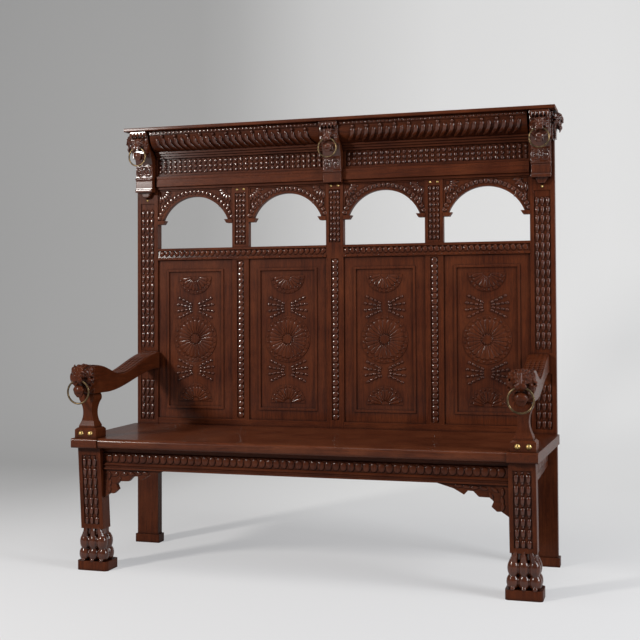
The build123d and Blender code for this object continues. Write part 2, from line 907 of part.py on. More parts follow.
def seat_ends(y0, y1, extra=0.0):
    """Tongues on the ends of the seat boards, or with extra the grooves in the cleats."""
    middle = (seat_low + seat_height) / 2
    half = seat_tongue_thickness / 2 + extra
    ends = block(
        cleat_inner_x, cleat_inner_x + seat_tongue + extra,
        y0 - extra, y1 + extra, middle - half, middle + half,
    )
    return ends + mirrored(ends)


def seat_cleat():
    front = post_front_y - cleat_projection
    corners = [
        (cleat_inner_x, front), (cleat_front_x, front),
        (cleat_rear_x, post_front_y), (cleat_inner_x, post_front_y),
    ]
    outline = Polyline(*[(x, y, seat_low) for x, y in corners], close=True)
    cleat = extrude(make_face(outline), amount=seat_thickness, dir=(0, 0, 1))
    long_edges = cleat.edges().group_by(Axis.X)[-1] + cleat.edges().filter_by(Axis.X).group_by(Axis.Y)[0]
    cleat = fillet(long_edges, cleat_edge_radius)
    cleat -= seat_ends(front + 2 * seat_nose_radius, post_front_y + overrun, joint_clearance)
    dowel = Pos(arm_centre_x, post_front_y - support_projection, seat_height - support_dowel_length / 2)
    bore = support_dowel_radius + joint_clearance
    cleat -= dowel * Cylinder(bore, support_dowel_length + 2 * joint_clearance)
    return cleat


# Seat frame
def apron():
    x0, x1 = -leg_inner_x, leg_inner_x
    y0 = apron_front_y
    y1 = y0 + apron_thickness
    cove_low = seat_low - apron_cove_height
    edges = Polyline(
        (x0, y0 + apron_cove_depth / 2, cove_low), (x0, y0, cove_low - apron_cove_depth / 2),
        (x0, y0, apron_low), (x0, y1, apron_low), (x0, y1, seat_low), (x0, y0 - apron_cove_depth, seat_low),
    )
    middle = (x0, y0 + apron_cove_depth / 4, (cove_low + seat_low) / 2)
    foot = (x0, y0 + apron_cove_depth / 2, cove_low)
    edges += ThreePointArc((x0, y0 - apron_cove_depth, seat_low), middle, foot)
    board = run_along_x(edges, x0, x1)
    for side in (-1, 1):
        board += apron_tenon(side, 0.0)
    return board


def apron_tenon(side, extra):
    x0 = side * leg_inner_x
    y0 = apron_front_y + (apron_thickness - tenon_thickness) / 2
    return block(
        x0 - side * extra, x0 + side * (tenon_length + extra), y0 - extra, y0 + tenon_thickness + extra,
        apron_low + tenon_shoulder - extra, seat_low - tenon_shoulder + extra,
    )


def apron_moulding():
    """The double moulding planted along the foot of the apron."""
    x0, x1 = -leg_inner_x, leg_inner_x
    y0 = apron_front_y
    out = apron_bead_projection
    rise = apron_bead_height / 4
    low = apron_low
    points = [
        (y0, low), (y0, low + 4 * rise), (y0 - out / 2, low + 4 * rise), (y0 - out, low + 3 * rise),
        (y0 - out / 2, low + 2 * rise), (y0 - out / 2, low + rise), (y0 - out, low + rise), (y0 - out, low),
    ]
    return run_along_x(outline_yz(x0, points), x0, x1)


bracket_outline_shares = [
    (0.000, 1.00), (0.000, 0.98), (0.170, 0.87), (0.230, 0.83), (0.375, 0.65), (0.430, 0.78),
    (0.505, 0.77), (0.580, 0.60), (0.740, 0.59), (0.785, 0.47), (0.755, 0.31), (0.830, 0.16),
    (0.890, 0.17), (1.000, 0.00), (1.000, 1.00),
]


def bracket():
    y0 = apron_front_y + bracket_setback
    points = [
        (leg_inner_x - bracket_length * (1 - run), apron_low - bracket_height * (1 - rise))
        for run, rise in bracket_outline_shares
    ]
    return extrude(make_face(outline_xz(y0, points)), amount=bracket_thickness, dir=(0, 1, 0))


def side_rail():
    x1 = side_rail_outer_x
    x0 = x1 - side_rail_thickness
    rail = block(x0, x1, side_rail_front_y(seat_low), post_front_y, apron_low, seat_low)
    rail -= front_leg_prism(joint_clearance)
    rail += side_rail_tenon_rear(0.0)
    rail += side_rail_tenon_front(0.0)
    return rail


def side_rail_front_y(z):
    """Where the raked rear face of a front leg is at one height."""
    return leg_front_y + leg_depth + leg_rake * (seat_low - z) / (seat_low - plinth_height)


def side_rail_tenon_rear(extra):
    x0 = side_rail_outer_x - side_rail_thickness / 2 - tenon_thickness / 2
    return block(
        x0 - extra, x0 + tenon_thickness + extra, post_front_y - extra,
        post_front_y + tenon_length * rail_tenon_share + extra,
        apron_low + tenon_shoulder - extra, seat_low - tenon_shoulder + extra,
    )


def side_rail_tenon_front(extra):
    x0 = side_rail_outer_x - side_rail_thickness / 2 - tenon_thickness / 2
    y1 = side_rail_front_y(seat_low)
    return block(
        x0 - extra, x0 + tenon_thickness + extra, y1 - tenon_length * side_tenon_share - extra,
        y1 + leg_rake + extra,
        apron_low + tenon_shoulder - extra, seat_low - tenon_shoulder + extra,
    )


def rear_seat_rail():
    z0 = rear_rail_low
    z1 = bottom_rail_low
    rail = block(-post_inner_x, post_inner_x, frame_front_y, frame_back_y, z0, z1)
    for side in (-1, 1):
        rail += tenon(side * post_inner_x, side, z0, z1)
    rail -= upright_tenon(-stile_half, stile_half, z1, -1, joint_clearance)
    return rail


def bearer():
    """A cross bearer under the seat boards, housed in the apron and notched at the back rail."""
    return block(
        bearer_offset - bearer_width / 2, bearer_offset + bearer_width / 2,
        apron_front_y + apron_thickness, frame_front_y, seat_low - bearer_height, seat_low,
    )


# Front legs: raked, with a sunk carved field over a paw
def front_leg_prism(extra=0.0):
    z0, z1 = plinth_height, seat_low
    y_top = leg_front_y
    y_low = leg_front_y + leg_rake
    x0 = leg_inner_x - extra
    points = [
        (y_top - extra, z1), (y_top + leg_depth + extra, z1),
        (y_low + leg_depth + extra, z0), (y_low - extra, z0),
    ]
    return run_along_x(outline_yz(x0, points), x0, leg_outer_x + extra)


def leg_face_y(z):
    return leg_front_y + leg_rake * (seat_low - z) / (seat_low - plinth_height)


def front_leg():
    leg = front_leg_prism()
    x0 = leg_centre_x - leg_field_width / 2
    sunk = outline_yz(x0, [
        (leg_face_y(leg_field_low) - overrun, leg_field_low),
        (leg_face_y(leg_field_top) - overrun, leg_field_top),
        (leg_face_y(leg_field_top) + carving_depth, leg_field_top),
        (leg_face_y(leg_field_low) + carving_depth, leg_field_low),
    ])
    leg -= run_along_x(sunk, x0, x0 + leg_field_width)
    leg += paw()
    leg -= apron_tenon(1, joint_clearance)
    leg -= side_rail_tenon_front(joint_clearance)
    return leg


def paw():
    """Toes in two tiers round the front and the sides of the foot."""
    low = plinth_height
    knuckle = low + paw_upper_height
    front = leg_face_y(low) + toe_radius - paw_toe_reach
    toes = None
    places = [(leg_centre_x + step * toe_spread, front) for step in (-1, 0, 1)]
    places += [(leg_centre_x + side * toe_spread, front + toe_spread) for side in (-1, 1)]
    for x, y in places:
        toe = Pos(x, y, low + toe_radius) * Sphere(toe_radius)
        middle = (low + toe_radius + knuckle) / 2
        toe += Pos(x, y, middle) * Cylinder(toe_radius * toe_bone_share, knuckle - low - toe_radius)
        toe += Pos(x, y, knuckle) * Sphere(toe_radius * knuckle_share)
        shin = paw_height - paw_upper_height
        sinew = Cone(toe_radius * toe_bone_share, toe_radius * sinew_share, shin)
        toe += Pos(x, y, knuckle + shin / 2) * sinew
        toes = toe if toes is None else toes + toe
    keep = block(
        leg_inner_x - leg_width, leg_outer_x + leg_width, leg_front_y - leg_width, post_front_y,
        low, low + 2 * paw_height,
    )
    return toes & keep


def front_plinth():
    y0 = leg_face_y(plinth_height) - front_plinth_lip
    half = front_plinth_width / 2
    plinth = block(
        leg_centre_x - half, leg_centre_x + half, y0, y0 + front_plinth_depth, 0.0, plinth_height
    )
    return fillet(plinth.edges().filter_by(Axis.Z), plinth_corner_radius)


# Arms and their supports
# Shares of the reach from the post to the neck, and of the fall from one level to the next
arm_shoulder_share = 0.40
arm_dip_share = 0.64
arm_crown_share = 0.86
arm_heel_share = 0.86
arm_belly_share = 0.68
arm_under_mid_share = 0.30
shoulder_fall_share = 0.72
crown_fall_share = 0.45
belly_rise_share = 0.08
under_mid_rise_share = 0.74


def arm_outline(x):
    """Side view of an arm: it dips behind the head and rises to the post."""

    def at(run_share, z):
        return (x, post_front_y - arm_neck_reach * run_share, z)

    fall = arm_top_z - arm_dip_z
    lift = arm_crown_z - arm_dip_z
    rise = arm_root_under_z - arm_under_z
    root = at(0, arm_top_z)
    shoulder = at(arm_shoulder_share, arm_top_z - fall * shoulder_fall_share)
    dip = at(arm_dip_share, arm_dip_z)
    crown = at(arm_crown_share, arm_crown_z - lift * crown_fall_share / 4)
    neck = at(1, arm_crown_z)
    chin = at(1, arm_under_z)
    heel = at(arm_heel_share, arm_under_z)
    belly = at(arm_belly_share, arm_under_z + rise * belly_rise_share)
    under_mid = at(arm_under_mid_share, arm_under_z + rise * under_mid_rise_share)
    under_root = at(0, arm_root_under_z)
    edges = Spline(root, shoulder, dip, crown, neck)
    edges += Line(neck, chin)
    edges += Line(chin, heel)
    edges += Spline(heel, belly, under_mid, under_root)
    edges += Line(under_root, root)
    return edges


def arm():
    x0 = arm_centre_x - arm_width / 2
    body = run_along_x(arm_outline(x0), x0, x0 + arm_width)
    head = lion_head(arm_centre_x, (
        arm_head_radius, post_front_y - arm_head_projection, arm_head_centre_z,
        arm_muzzle_radius, arm_muzzle_rise, post_front_y - arm_reach, arm_chin_width, arm_chin_drop,
        arm_ring_sizes(),
    ))
    body += head - ring_tunnel(arm_centre_x, *arm_ring_sizes())
    body += arm_root_tenon(0.0)
    body -= support_top_dowel(joint_clearance)
    return body


def arm_ring_sizes():
    y = post_front_y - arm_ring_projection
    return (y, arm_ring_axis_z, arm_ring_radius, arm_ring_wire_radius, arm_ring_drop)


def arm_root_tenon(extra):
    z = (arm_top_z + arm_root_under_z) / 2
    half_x = arm_tenon_width / 2 + extra
    half_z = arm_tenon_height / 2 + extra
    return block(
        arm_centre_x - half_x, arm_centre_x + half_x, post_front_y - extra,
        post_front_y + arm_tenon_length + extra, z - half_z, z + half_z,
    )


def support_top_dowel(extra):
    middle = arm_under_z + support_dowel_length / 2
    return Pos(arm_centre_x, post_front_y - support_projection, middle) * Cylinder(
        support_dowel_radius + extra, support_dowel_length + 2 * extra
    )


def vase_outline(base, moulding, waist, cap):
    """One symmetrical view of the support, as (offset, z) points from the seat up."""
    z0 = seat_height
    base_top = z0 + support_base_height
    moulding_top = base_top + support_moulding_height
    cap_low = arm_under_z - support_cap_height
    waist_z = (moulding_top + cap_low) / 2
    right = [
        (base / 2, z0), (base / 2, base_top - support_moulding_step),
        (base / 2 - support_moulding_step, base_top), (moulding / 2, base_top),
        (moulding / 2, base_top + support_moulding_step),
        (moulding / 2 - support_moulding_step, moulding_top),
    ]
    upper = [
        (moulding / 2 - support_moulding_step, moulding_top), (waist / 2, waist_z),
        (waist / 2 + support_moulding_step, cap_low),
    ]
    cap_points = [
        (waist / 2 + support_moulding_step, cap_low), (cap / 2, (cap_low + arm_under_z) / 2),
        (waist / 2 + support_moulding_step, arm_under_z),
    ]
    return right, upper, cap_points


def vase_half(convert, points):
    right, upper, cap_points = points
    edges = Polyline(*[convert(a, z) for a, z in right])
    edges += Spline(*[convert(a, z) for a, z in upper])
    edges += ThreePointArc(*[convert(a, z) for a, z in cap_points])
    return edges


def vase_face(convert, points):
    edges = vase_half(convert, points)
    edges += vase_half(lambda a, z: convert(-a, z), points)
    right, upper, cap_points = points
    edges += Line(convert(*right[0]), convert(-right[0][0], right[0][1]))
    edges += Line(convert(*cap_points[-1]), convert(-cap_points[-1][0], cap_points[-1][1]))
    return make_face(edges)


def arm_support():
    centre_y = post_front_y - support_projection
    front_y = centre_y - support_base_depth
    left_x = arm_centre_x - support_base_width
    front_view = vase_face(
        lambda a, z: (arm_centre_x + a, front_y, z),
        vase_outline(support_base_width, support_moulding_width, support_waist_width, support_cap_width),
    )
    side_view = vase_face(
        lambda a, z: (left_x, centre_y + a, z),
        vase_outline(support_base_depth, support_moulding_depth, support_waist_depth, support_cap_depth),
    )
    body = extrude(front_view, amount=2 * support_base_depth, dir=(0, 1, 0))
    body &= extrude(side_view, amount=2 * support_base_width, dir=(1, 0, 0))
    body += support_top_dowel(0.0)
    body += Pos(arm_centre_x, centre_y, seat_height - support_dowel_length / 2) * Cylinder(
        support_dowel_radius, support_dowel_length
    )
    radius = nail_shank_radius + joint_clearance
    for x, y, z in large_nail_places():
        body -= rod_y(radius, y - overrun, y + nail_shank_length + joint_clearance, x, z)
    return body


def nails():
    heads = [nail(large_nail_radius, large_nail_height, x, y, z) for x, y, z in large_nail_places()]
    heads += [nail(small_nail_radius, small_nail_height, x, y, z) for x, y, z in small_nail_places()]
    return Compound(children=heads)


def pegs():
    y0 = post_back_y - peg_length
    return Compound(children=[rod_y(peg_radius, y0, post_back_y, x, z) for x, z in peg_places()])


def save(name, shape):
    """Write one named piece."""
    export_step(shape, f"parts/{name}.step")


def save_pair(name, right):
    """Write the piece on the right, x over zero, and its mirror image on the left."""
    save(f"{name}_right", right)
    save(f"{name}_left", mirrored(right))


save_pair("rear_post", rear_post())
save_pair("rear_plinth", rear_plinth())
save_pair("front_leg", front_leg())
save_pair("front_plinth", front_plinth())
save_pair("bottom_rail", bottom_rail())
save_pair("mid_rail", mid_rail())
save("top_rail", top_rail())
save("centre_stile", centre_stile())
save_pair("upper_munting", upper_munting())
save_pair("lower_munting", lower_munting())
for number, (centre_x, bay_width) in enumerate(zip(bay_centres, bay_widths), start=1):
    save(f"panel_{number}", panel(centre_x, bay_width))
    save(f"arch_{number}", arch_board(centre_x, bay_width))
save("frieze_board", frieze_board())
save_pair("cornice", cornice())
save("top_board", top_board())
save_pair("corner_console", corner_console())
save("centre_corbel", centre_corbel())
save_pair("side_mask", side_mask())
save("seat_board_front", seat_board_front())
save("seat_board_rear", seat_board_rear())
save_pair("seat_cleat", seat_cleat())
save("apron", apron())
save("apron_moulding", apron_moulding())
save_pair("bracket", bracket())
save_pair("side_rail", side_rail())
save("rear_seat_rail", rear_seat_rail())
save_pair("seat_bearer", bearer())
save_pair("arm", arm())
save_pair("arm_support", arm_support())
save_pair("arm_ring", hung_ring(arm_centre_x, *arm_ring_sizes()))
ring_y = post_front_y - ring_plane_projection
for name, centre_x in (("left", -post_centre_x), ("centre", 0.0), ("right", post_centre_x)):
    ring = hung_ring(centre_x, ring_y, ring_axis_z, ring_radius, ring_wire_radius, ring_drop)
    save(f"console_ring_{name}", ring)
save("brass_nails", nails())
save("frame_pegs", pegs())
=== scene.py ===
import math

import bmesh
import bpy
from mathutils import Euler, Matrix, Vector


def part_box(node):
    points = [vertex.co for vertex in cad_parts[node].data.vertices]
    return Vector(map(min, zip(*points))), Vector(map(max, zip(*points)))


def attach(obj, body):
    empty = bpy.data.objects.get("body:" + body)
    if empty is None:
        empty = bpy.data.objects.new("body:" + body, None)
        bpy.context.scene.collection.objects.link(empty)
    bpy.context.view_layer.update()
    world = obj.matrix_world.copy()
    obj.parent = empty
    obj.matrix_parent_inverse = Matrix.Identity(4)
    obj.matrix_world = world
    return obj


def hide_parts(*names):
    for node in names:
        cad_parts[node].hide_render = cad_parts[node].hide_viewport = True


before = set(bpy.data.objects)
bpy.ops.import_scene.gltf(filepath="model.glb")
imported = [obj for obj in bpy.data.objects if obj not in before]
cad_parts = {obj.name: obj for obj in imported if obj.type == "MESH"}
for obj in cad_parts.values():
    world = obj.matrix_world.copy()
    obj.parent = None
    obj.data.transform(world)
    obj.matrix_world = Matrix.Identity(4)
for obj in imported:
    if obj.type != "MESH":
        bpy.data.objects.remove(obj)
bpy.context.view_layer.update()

# The bench in metres: +Z up, the front faces -Y, the origin is on the floor under its middle
POST_FACE = 0.284  # y of the rear posts' front faces
FRAME_FACE = POST_FACE + 0.002  # y of the frame between them
FIELD_SINK = 0.0028  # depth of the sunk fields in posts, muntings and frieze
POST_X, ARM_X, LEG_X = 0.793, 0.777, 0.771  # middles of the right post, arm and leg
BAYS = (-0.5865, -0.195, 0.195, 0.5865)  # middles of the bays
MUNTINGS = (-0.39, 0.0, 0.39)  # middles of the uprights between them
SIDES = (("left", -1.0), ("right", 1.0))


class Wire:
    """A socket of a node tree that can be used in arithmetic."""

    def __init__(self, tree, socket):
        self.tree = tree
        self.socket = socket

    def maths(self, operation, first, second):
        return self.tree.add("ShaderNodeMath", {"operation": operation}, {0: first, 1: second})

    def __add__(self, other):
        return self.maths("ADD", self, other)

    def __radd__(self, other):
        return self.maths("ADD", other, self)

    def __sub__(self, other):
        return self.maths("SUBTRACT", self, other)

    def __rsub__(self, other):
        return self.maths("SUBTRACT", other, self)

    def __mul__(self, other):
        return self.maths("MULTIPLY", self, other)

    def at(self, name):
        """Another output of the same node."""
        return Wire(self.tree, self.socket.node.outputs[name])


class Tree:
    """A shader or geometry tree, built node by node."""

    def __init__(self, nodes):
        self.nodes = nodes
        self.nodes.nodes.clear()

    def add(self, kind, settings=None, sockets=None, out=0):
        node = self.nodes.nodes.new(kind)
        for key, value in (settings or {}).items():
            if key == "stops":
                stops = node.color_ramp.elements
                while len(stops) < len(value):
                    stops.new(1.0)
                for stop, (place, tone) in zip(stops, value):
                    stop.position = place
                    stop.color = tone
            else:
                setattr(node, key, value)
        for key, value in (sockets or {}).items():
            if isinstance(value, Wire):
                self.nodes.links.new(value.socket, node.inputs[key])
            else:
                node.inputs[key].default_value = value
        return Wire(self, node.outputs[out]) if len(node.outputs) else node

    def ramp(self, value, stops):
        grey = [(place, (tone, tone, tone, 1.0)) for place, tone in stops]
        return self.add("ShaderNodeValToRGB", {"stops": grey}, {"Fac": value})

    def blend(self, share, first, second):
        """A mix of two colours, by the number of each socket: factor, A, B and the result."""
        return self.add("ShaderNodeMix", {"data_type": "RGBA"}, {0: share, 6: first, 7: second}, 2)


def new_material(name):
    material = bpy.data.materials.new(name)
    material.use_nodes = True
    return material, Tree(material.node_tree)


def colour(red, green, blue):
    return (red, green, blue, 1.0)


def oak(name, grain, deep, mid, worn, rough=0.40, coat=0.10, dirt_and_shade_strength=0.85):
    """Old waxed oak: fibres along one axis, open pores, dirt and painted shade in the hollows,
    rubbed edges.

    Its colours are those of the deep grain, of the plain wood and of the worn edges.
    """
    material, tree = new_material(name)
    place = tree.add("ShaderNodeTexCoord", out="Object")
    stretch = [24.0, 24.0, 24.0]
    stretch["XYZ".index(grain)] = 1.5
    waver = tree.add("ShaderNodeTexNoise", None, {"Vector": place, "Scale": 5.0, "Detail": 2.0})
    fibre = tree.add("ShaderNodeMapping", None, {"Vector": place, "Scale": stretch})
    streak = tree.add("ShaderNodeTexNoise", None, {
        "Vector": fibre, "Scale": 5.0, "Detail": 7.0, "Roughness": 0.62, "Distortion": 0.7})
    pores = tree.add("ShaderNodeTexNoise", None, {
        "Vector": fibre, "Scale": 38.0, "Detail": 3.0, "Roughness": 0.7})
    pore = tree.ramp(pores, ((0.36, 0.0), (0.5, 1.0)))
    cloud = tree.add("ShaderNodeTexNoise", None, {"Vector": place, "Scale": 9.0, "Detail": 4.0})
    face = tree.add("ShaderNodeNewGeometry", out="Normal")
    round_over = tree.add("ShaderNodeBevel", {"samples": 4}, {"Radius": 0.0022})
    match = tree.add("ShaderNodeVectorMath", {"operation": "DOT_PRODUCT"}, {
        0: face, 1: round_over}, out="Value")
    edge = tree.ramp(1.0 - match, ((0.02, 0.0), (0.22, 1.0)))
    # Ambient occlusion marks the hollows, and the wood is darkened there: painted shade together
    # with some dirt
    hollow = tree.add("ShaderNodeAmbientOcclusion", {"samples": 4}, {"Distance": 0.012}, out="AO")
    grime_and_painted_shade = tree.ramp(hollow, ((0.40, 1.0), (0.94, 0.0)))
    body = tree.blend(tree.ramp(streak, ((0.32, 0.0), (0.7, 1.0))), deep, mid)
    body = tree.blend(tree.ramp(cloud, ((0.36, 0.05), (0.80, 0.38))), body, worn)
    body = tree.blend((1.0 - pore) * 0.45, body, colour(*(tone * 0.4 for tone in deep[:3])))
    rub = edge * tree.ramp(waver, ((0.35, 0.25), (0.65, 0.9))) * hollow
    body = tree.blend(rub * 0.6, body, worn)
    # Painted shade and dirt: the occlusion mask turns the hollows dark brown
    body = tree.blend(grime_and_painted_shade * dirt_and_shade_strength, body, colour(deep[0] * 0.35, deep[1] * 0.32, deep[2] * 0.32))
    gloss = rough + (1.0 - pore) * 0.12 + grime_and_painted_shade * 0.25 + cloud * 0.12 - edge * 0.06
    height = streak * 0.35 + pore * 0.4 + cloud * 0.5
    dents = tree.add("ShaderNodeBump", None, {
        "Strength": 0.35, "Distance": 0.0007, "Height": height, "Normal": round_over})
    shader = tree.add("ShaderNodeBsdfPrincipled", None, {
        "Base Color": body, "Roughness": gloss, "Normal": dents, "Coat Weight": coat,
        "Coat Roughness": 0.13, "Specular IOR Level": 0.06, "IOR": 1.5})
    tree.add("ShaderNodeOutputMaterial", None, {"Surface": shader})
    return material


def metal(name, dark, bright, rough, scale):
    """Old brass or bronze: bright where it is rubbed, brown tarnish elsewhere."""
    material, tree = new_material(name)
    place = tree.add("ShaderNodeTexCoord", out="Object")
    spots = tree.add("ShaderNodeTexNoise", None, {
        "Vector": place, "Scale": scale, "Detail": 5.0, "Roughness": 0.65})
    fine = tree.add("ShaderNodeTexNoise", None, {
        "Vector": place, "Scale": scale * 6.0, "Detail": 2.0})
    tarnish = tree.ramp(spots, ((0.4, 0.0), (0.66, 1.0)))
    body = tree.blend(tarnish, bright, dark)
    dents = tree.add("ShaderNodeBump", None, {
        "Strength": 0.25, "Distance": 0.0004, "Height": spots + fine * 0.4})
    shader = tree.add("ShaderNodeBsdfPrincipled", None, {
        "Base Color": body, "Metallic": 1.0, "Roughness": rough + tarnish * 0.2 + fine * 0.08,
        "Normal": dents})
    tree.add("ShaderNodeOutputMaterial", None, {"Surface": shader})
    return material


DEEP = colour(0.024, 0.0046, 0.0017)
MID = colour(0.080, 0.0168, 0.0050)
WORN = colour(0.168, 0.045, 0.015)
oak_rail = oak("oak_rails", "X", DEEP, MID, WORN)
oak_upright = oak("oak_uprights", "Z", DEEP, MID, WORN)
oak_arm = oak("oak_arms", "Y", DEEP, MID, WORN, 0.38, 0.2)
oak_carved = oak("oak_carving", "Z", DEEP, MID, WORN, 0.36, 0.85)
oak_low_relief = oak("oak_low_relief", "Z", DEEP, MID, WORN, 0.36, 0.26)
oak_chips = oak("oak_chip_carving", "Z", DEEP, MID, WORN, 0.3, 1.0, 0.15)
oak_seat = oak("oak_seat", "X", colour(0.030, 0.0062, 0.0024), colour(0.094, 0.0222, 0.0080),
               colour(0.190, 0.057, 0.022), 0.36, 0.22)
brass = metal("brass_nails", colour(0.16, 0.10, 0.035), colour(0.66, 0.46, 0.18), 0.3, 160.0)
bronze = metal("bronze_rings", colour(0.030, 0.021, 0.013), colour(0.17, 0.115, 0.06), 0.28, 60.0)

# The plain parts keep their solids
LONG_RAILS = ("bottom_rail", "mid_rail", "top_rail", "frieze", "cornice", "top_board", "apron",
              "rear_seat_rail", "bracket")
for name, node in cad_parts.items():
    if name.startswith("seat_board"):
        finish = oak_seat
    elif name.startswith(("seat_cleat", "side_rail", "arm_left", "arm_right", "seat_bearer")):
        finish = oak_arm
    elif "ring" in name:
        finish = bronze
    elif name == "brass_nails":
        finish = brass
    elif name.startswith("panel"):
        finish = oak_low_relief
    elif name.startswith(LONG_RAILS):
        finish = oak_rail
    else:
        finish = oak_upright
    node.data.materials.clear()
    node.data.materials.append(finish)


def place_object(name, mesh):
    """A new object with this data, in the scene."""
    piece = bpy.data.objects.new(name, mesh)
    bpy.context.scene.collection.objects.link(piece)
    return piece


def settle(piece, body="bench", nodes=()):
    """Fasten a finished piece to its body."""
    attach(piece, body)
    if nodes:
        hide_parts(*nodes)


def plain_copy(piece, name):
    """The evaluated piece as a plain mesh without its modifiers."""
    bpy.context.view_layer.update()
    graph = bpy.context.evaluated_depsgraph_get()
    mesh = bpy.data.meshes.new_from_object(piece.evaluated_get(graph))
    bpy.data.objects.remove(piece)
    mesh.name = name
    return place_object(name, mesh)


# Cutters: small carved shapes that face -Y and stand on the ground of a field
cutters = []


def carved_shape(name, outline, steps, lean=(0.0, 0.0), bend=0.0, reach=1.0):
    """A low mound on a closed outline; each step is (share of the outline, height).

    With bend the ground swells by that much at the middle and falls to nothing at reach along Z.
    """
    count = len(outline)
    mid_x = sum(x for x, z in outline) / count
    mid_z = sum(z for x, z in outline) / count
    corners = []
    faces = []
    top = steps[-1][1]
    for share, height in steps:
        slide = height / top
        for x, z in outline:
            corners.append((mid_x + (x - mid_x) * share + lean[0] * slide, -height,
                            mid_z + (z - mid_z) * share + lean[1] * slide))
    corners.append((mid_x + lean[0], -top, mid_z + lean[1]))
    for ring in range(len(steps) - 1):
        for spot in range(count):
            after = (spot + 1) % count
            faces.append((ring * count + spot, ring * count + after,
                          (ring + 1) * count + after, (ring + 1) * count + spot))
    last = (len(steps) - 1) * count
    for spot in range(count):
        faces.append((last + spot, last + (spot + 1) % count, len(corners) - 1))
    faces.append(tuple(reversed(range(count))))
    corners = [(x, y - bend * (1.0 - (z / reach) ** 2), z) for x, y, z in corners]
    mesh = bpy.data.meshes.new(name)
    mesh.from_pydata(corners, [], faces)
    shape = bmesh.new()
    shape.from_mesh(mesh)
    bmesh.ops.recalc_face_normals(shape, faces=shape.faces)
    for face in shape.faces:
        face.smooth = True
    shape.to_mesh(mesh)
    shape.free()
    cutter = place_object(name, mesh)
    cutter.hide_render = True
    cutters.append(cutter.name)
    return cutter


def oval(width, height, count=12, power=1.0, top=0.0):
    """An oval outline; power under 1 squares it, top narrows or widens its upper end."""
    points = []
    for step in range(count):
        angle = 2.0 * math.pi * step / count
        across = math.cos(angle)
        along = math.sin(angle)
        across = math.copysign(abs(across) ** power, across)
        along = math.copysign(abs(along) ** power, along)
        points.append((width / 2 * across * (1.0 + top * along), height / 2 * along))
    return points


DOME = ((1.0, 0.0), (0.96, 0.55), (0.78, 0.86), (0.42, 1.0))


def domed(height):
    """The steps of a round-topped mound of this height."""
    return [(share, height * rise) for share, rise in DOME]


def geometry_tree(name, inputs):
    """A geometry tree with these inputs: the group, its builder and a wire for each input."""
    group = bpy.data.node_groups.new(name, "GeometryNodeTree")
    group.interface.new_socket(name="Geometry", in_out="OUTPUT", socket_type="NodeSocketGeometry")
    for label, kind in inputs:
        group.interface.new_socket(name=label, in_out="INPUT", socket_type=kind)
    tree = Tree(group)
    start = group.nodes.new("NodeGroupInput")
    return group, tree, {label: Wire(tree, start.outputs[label]) for label, kind in inputs}


def hand_made(tree, seed):
    """Sizes that differ a little from one cut to the next."""
    return tree.add("FunctionNodeRandomValue", {"data_type": "FLOAT_VECTOR"}, {
        "Min": (0.93, 0.90, 0.95), "Max": (1.03, 1.12, 1.03), "Seed": seed})


def finish_tree(tree, points, given, turn):
    """End a tree: the cutter at each point, made real and painted."""
    cut = tree.add("GeometryNodeObjectInfo", {"transform_space": "ORIGINAL"}, {
        "Object": given["Cutter"], "As Instance": True}, out="Geometry")
    cuts = tree.add("GeometryNodeInstanceOnPoints", None, {
        "Points": points, "Instance": cut, "Rotation": turn,
        "Scale": hand_made(tree, given["Seed"])})
    solid = tree.add("GeometryNodeRealizeInstances", None, {"Geometry": cuts})
    painted = tree.add("GeometryNodeSetMaterial", None, {
        "Geometry": solid, "Material": given["Wood"]})
    tree.add("NodeGroupOutput", None, {"Geometry": painted})


SHARED = [("Cutter", "NodeSocketObject"), ("Wood", "NodeSocketMaterial"), ("Seed", "NodeSocketInt")]

rows_group, rows_tree, given = geometry_tree("carved_rows", SHARED + [
    ("Start", "NodeSocketVector"), ("Columns", "NodeSocketInt"),
    ("Column step", "NodeSocketVector"), ("Rows", "NodeSocketInt"),
    ("Row step", "NodeSocketVector"), ("Turn", "NodeSocketRotation")])
column = rows_tree.add("GeometryNodeMeshLine", None, {
    "Count": given["Rows"], "Offset": given["Row step"]})
across = rows_tree.add("GeometryNodeMeshLine", None, {
    "Count": given["Columns"], "Start Location": given["Start"], "Offset": given["Column step"]})
grid = rows_tree.add("GeometryNodeInstanceOnPoints", None, {"Points": across, "Instance": column})
spots = rows_tree.add("GeometryNodeRealizeInstances", None, {"Geometry": grid})
finish_tree(rows_tree, spots, given, given["Turn"])

fan_group, fan_tree, given = geometry_tree("carved_fan", SHARED + [
    ("Centre", "NodeSocketVector"), ("Count", "NodeSocketInt"), ("Radius", "NodeSocketFloat"),
    ("First angle", "NodeSocketFloat"), ("Angle step", "NodeSocketFloat")])
line = fan_tree.add("GeometryNodeMeshLine", None, {
    "Count": given["Count"], "Offset": (0.0, 0.0, 0.0)})
angle = fan_tree.add("GeometryNodeInputIndex") * given["Angle step"] + given["First angle"]
reach_x = fan_tree.add("ShaderNodeMath", {"operation": "COSINE"}, {0: angle}) * given["Radius"]
reach_z = fan_tree.add("ShaderNodeMath", {"operation": "SINE"}, {0: angle}) * given["Radius"]
offset = fan_tree.add("ShaderNodeCombineXYZ", None, {"X": reach_x, "Z": reach_z})
spot = fan_tree.add("ShaderNodeVectorMath", {"operation": "ADD"}, {0: offset, 1: given["Centre"]})
ring = fan_tree.add("GeometryNodeSetPosition", None, {"Geometry": line, "Position": spot})
lean = fan_tree.add("ShaderNodeCombineXYZ", None, {"Y": math.pi / 2 - angle})
turn = fan_tree.add("FunctionNodeEulerToRotation", None, {"Euler": lean})
finish_tree(fan_tree, ring, given, turn)

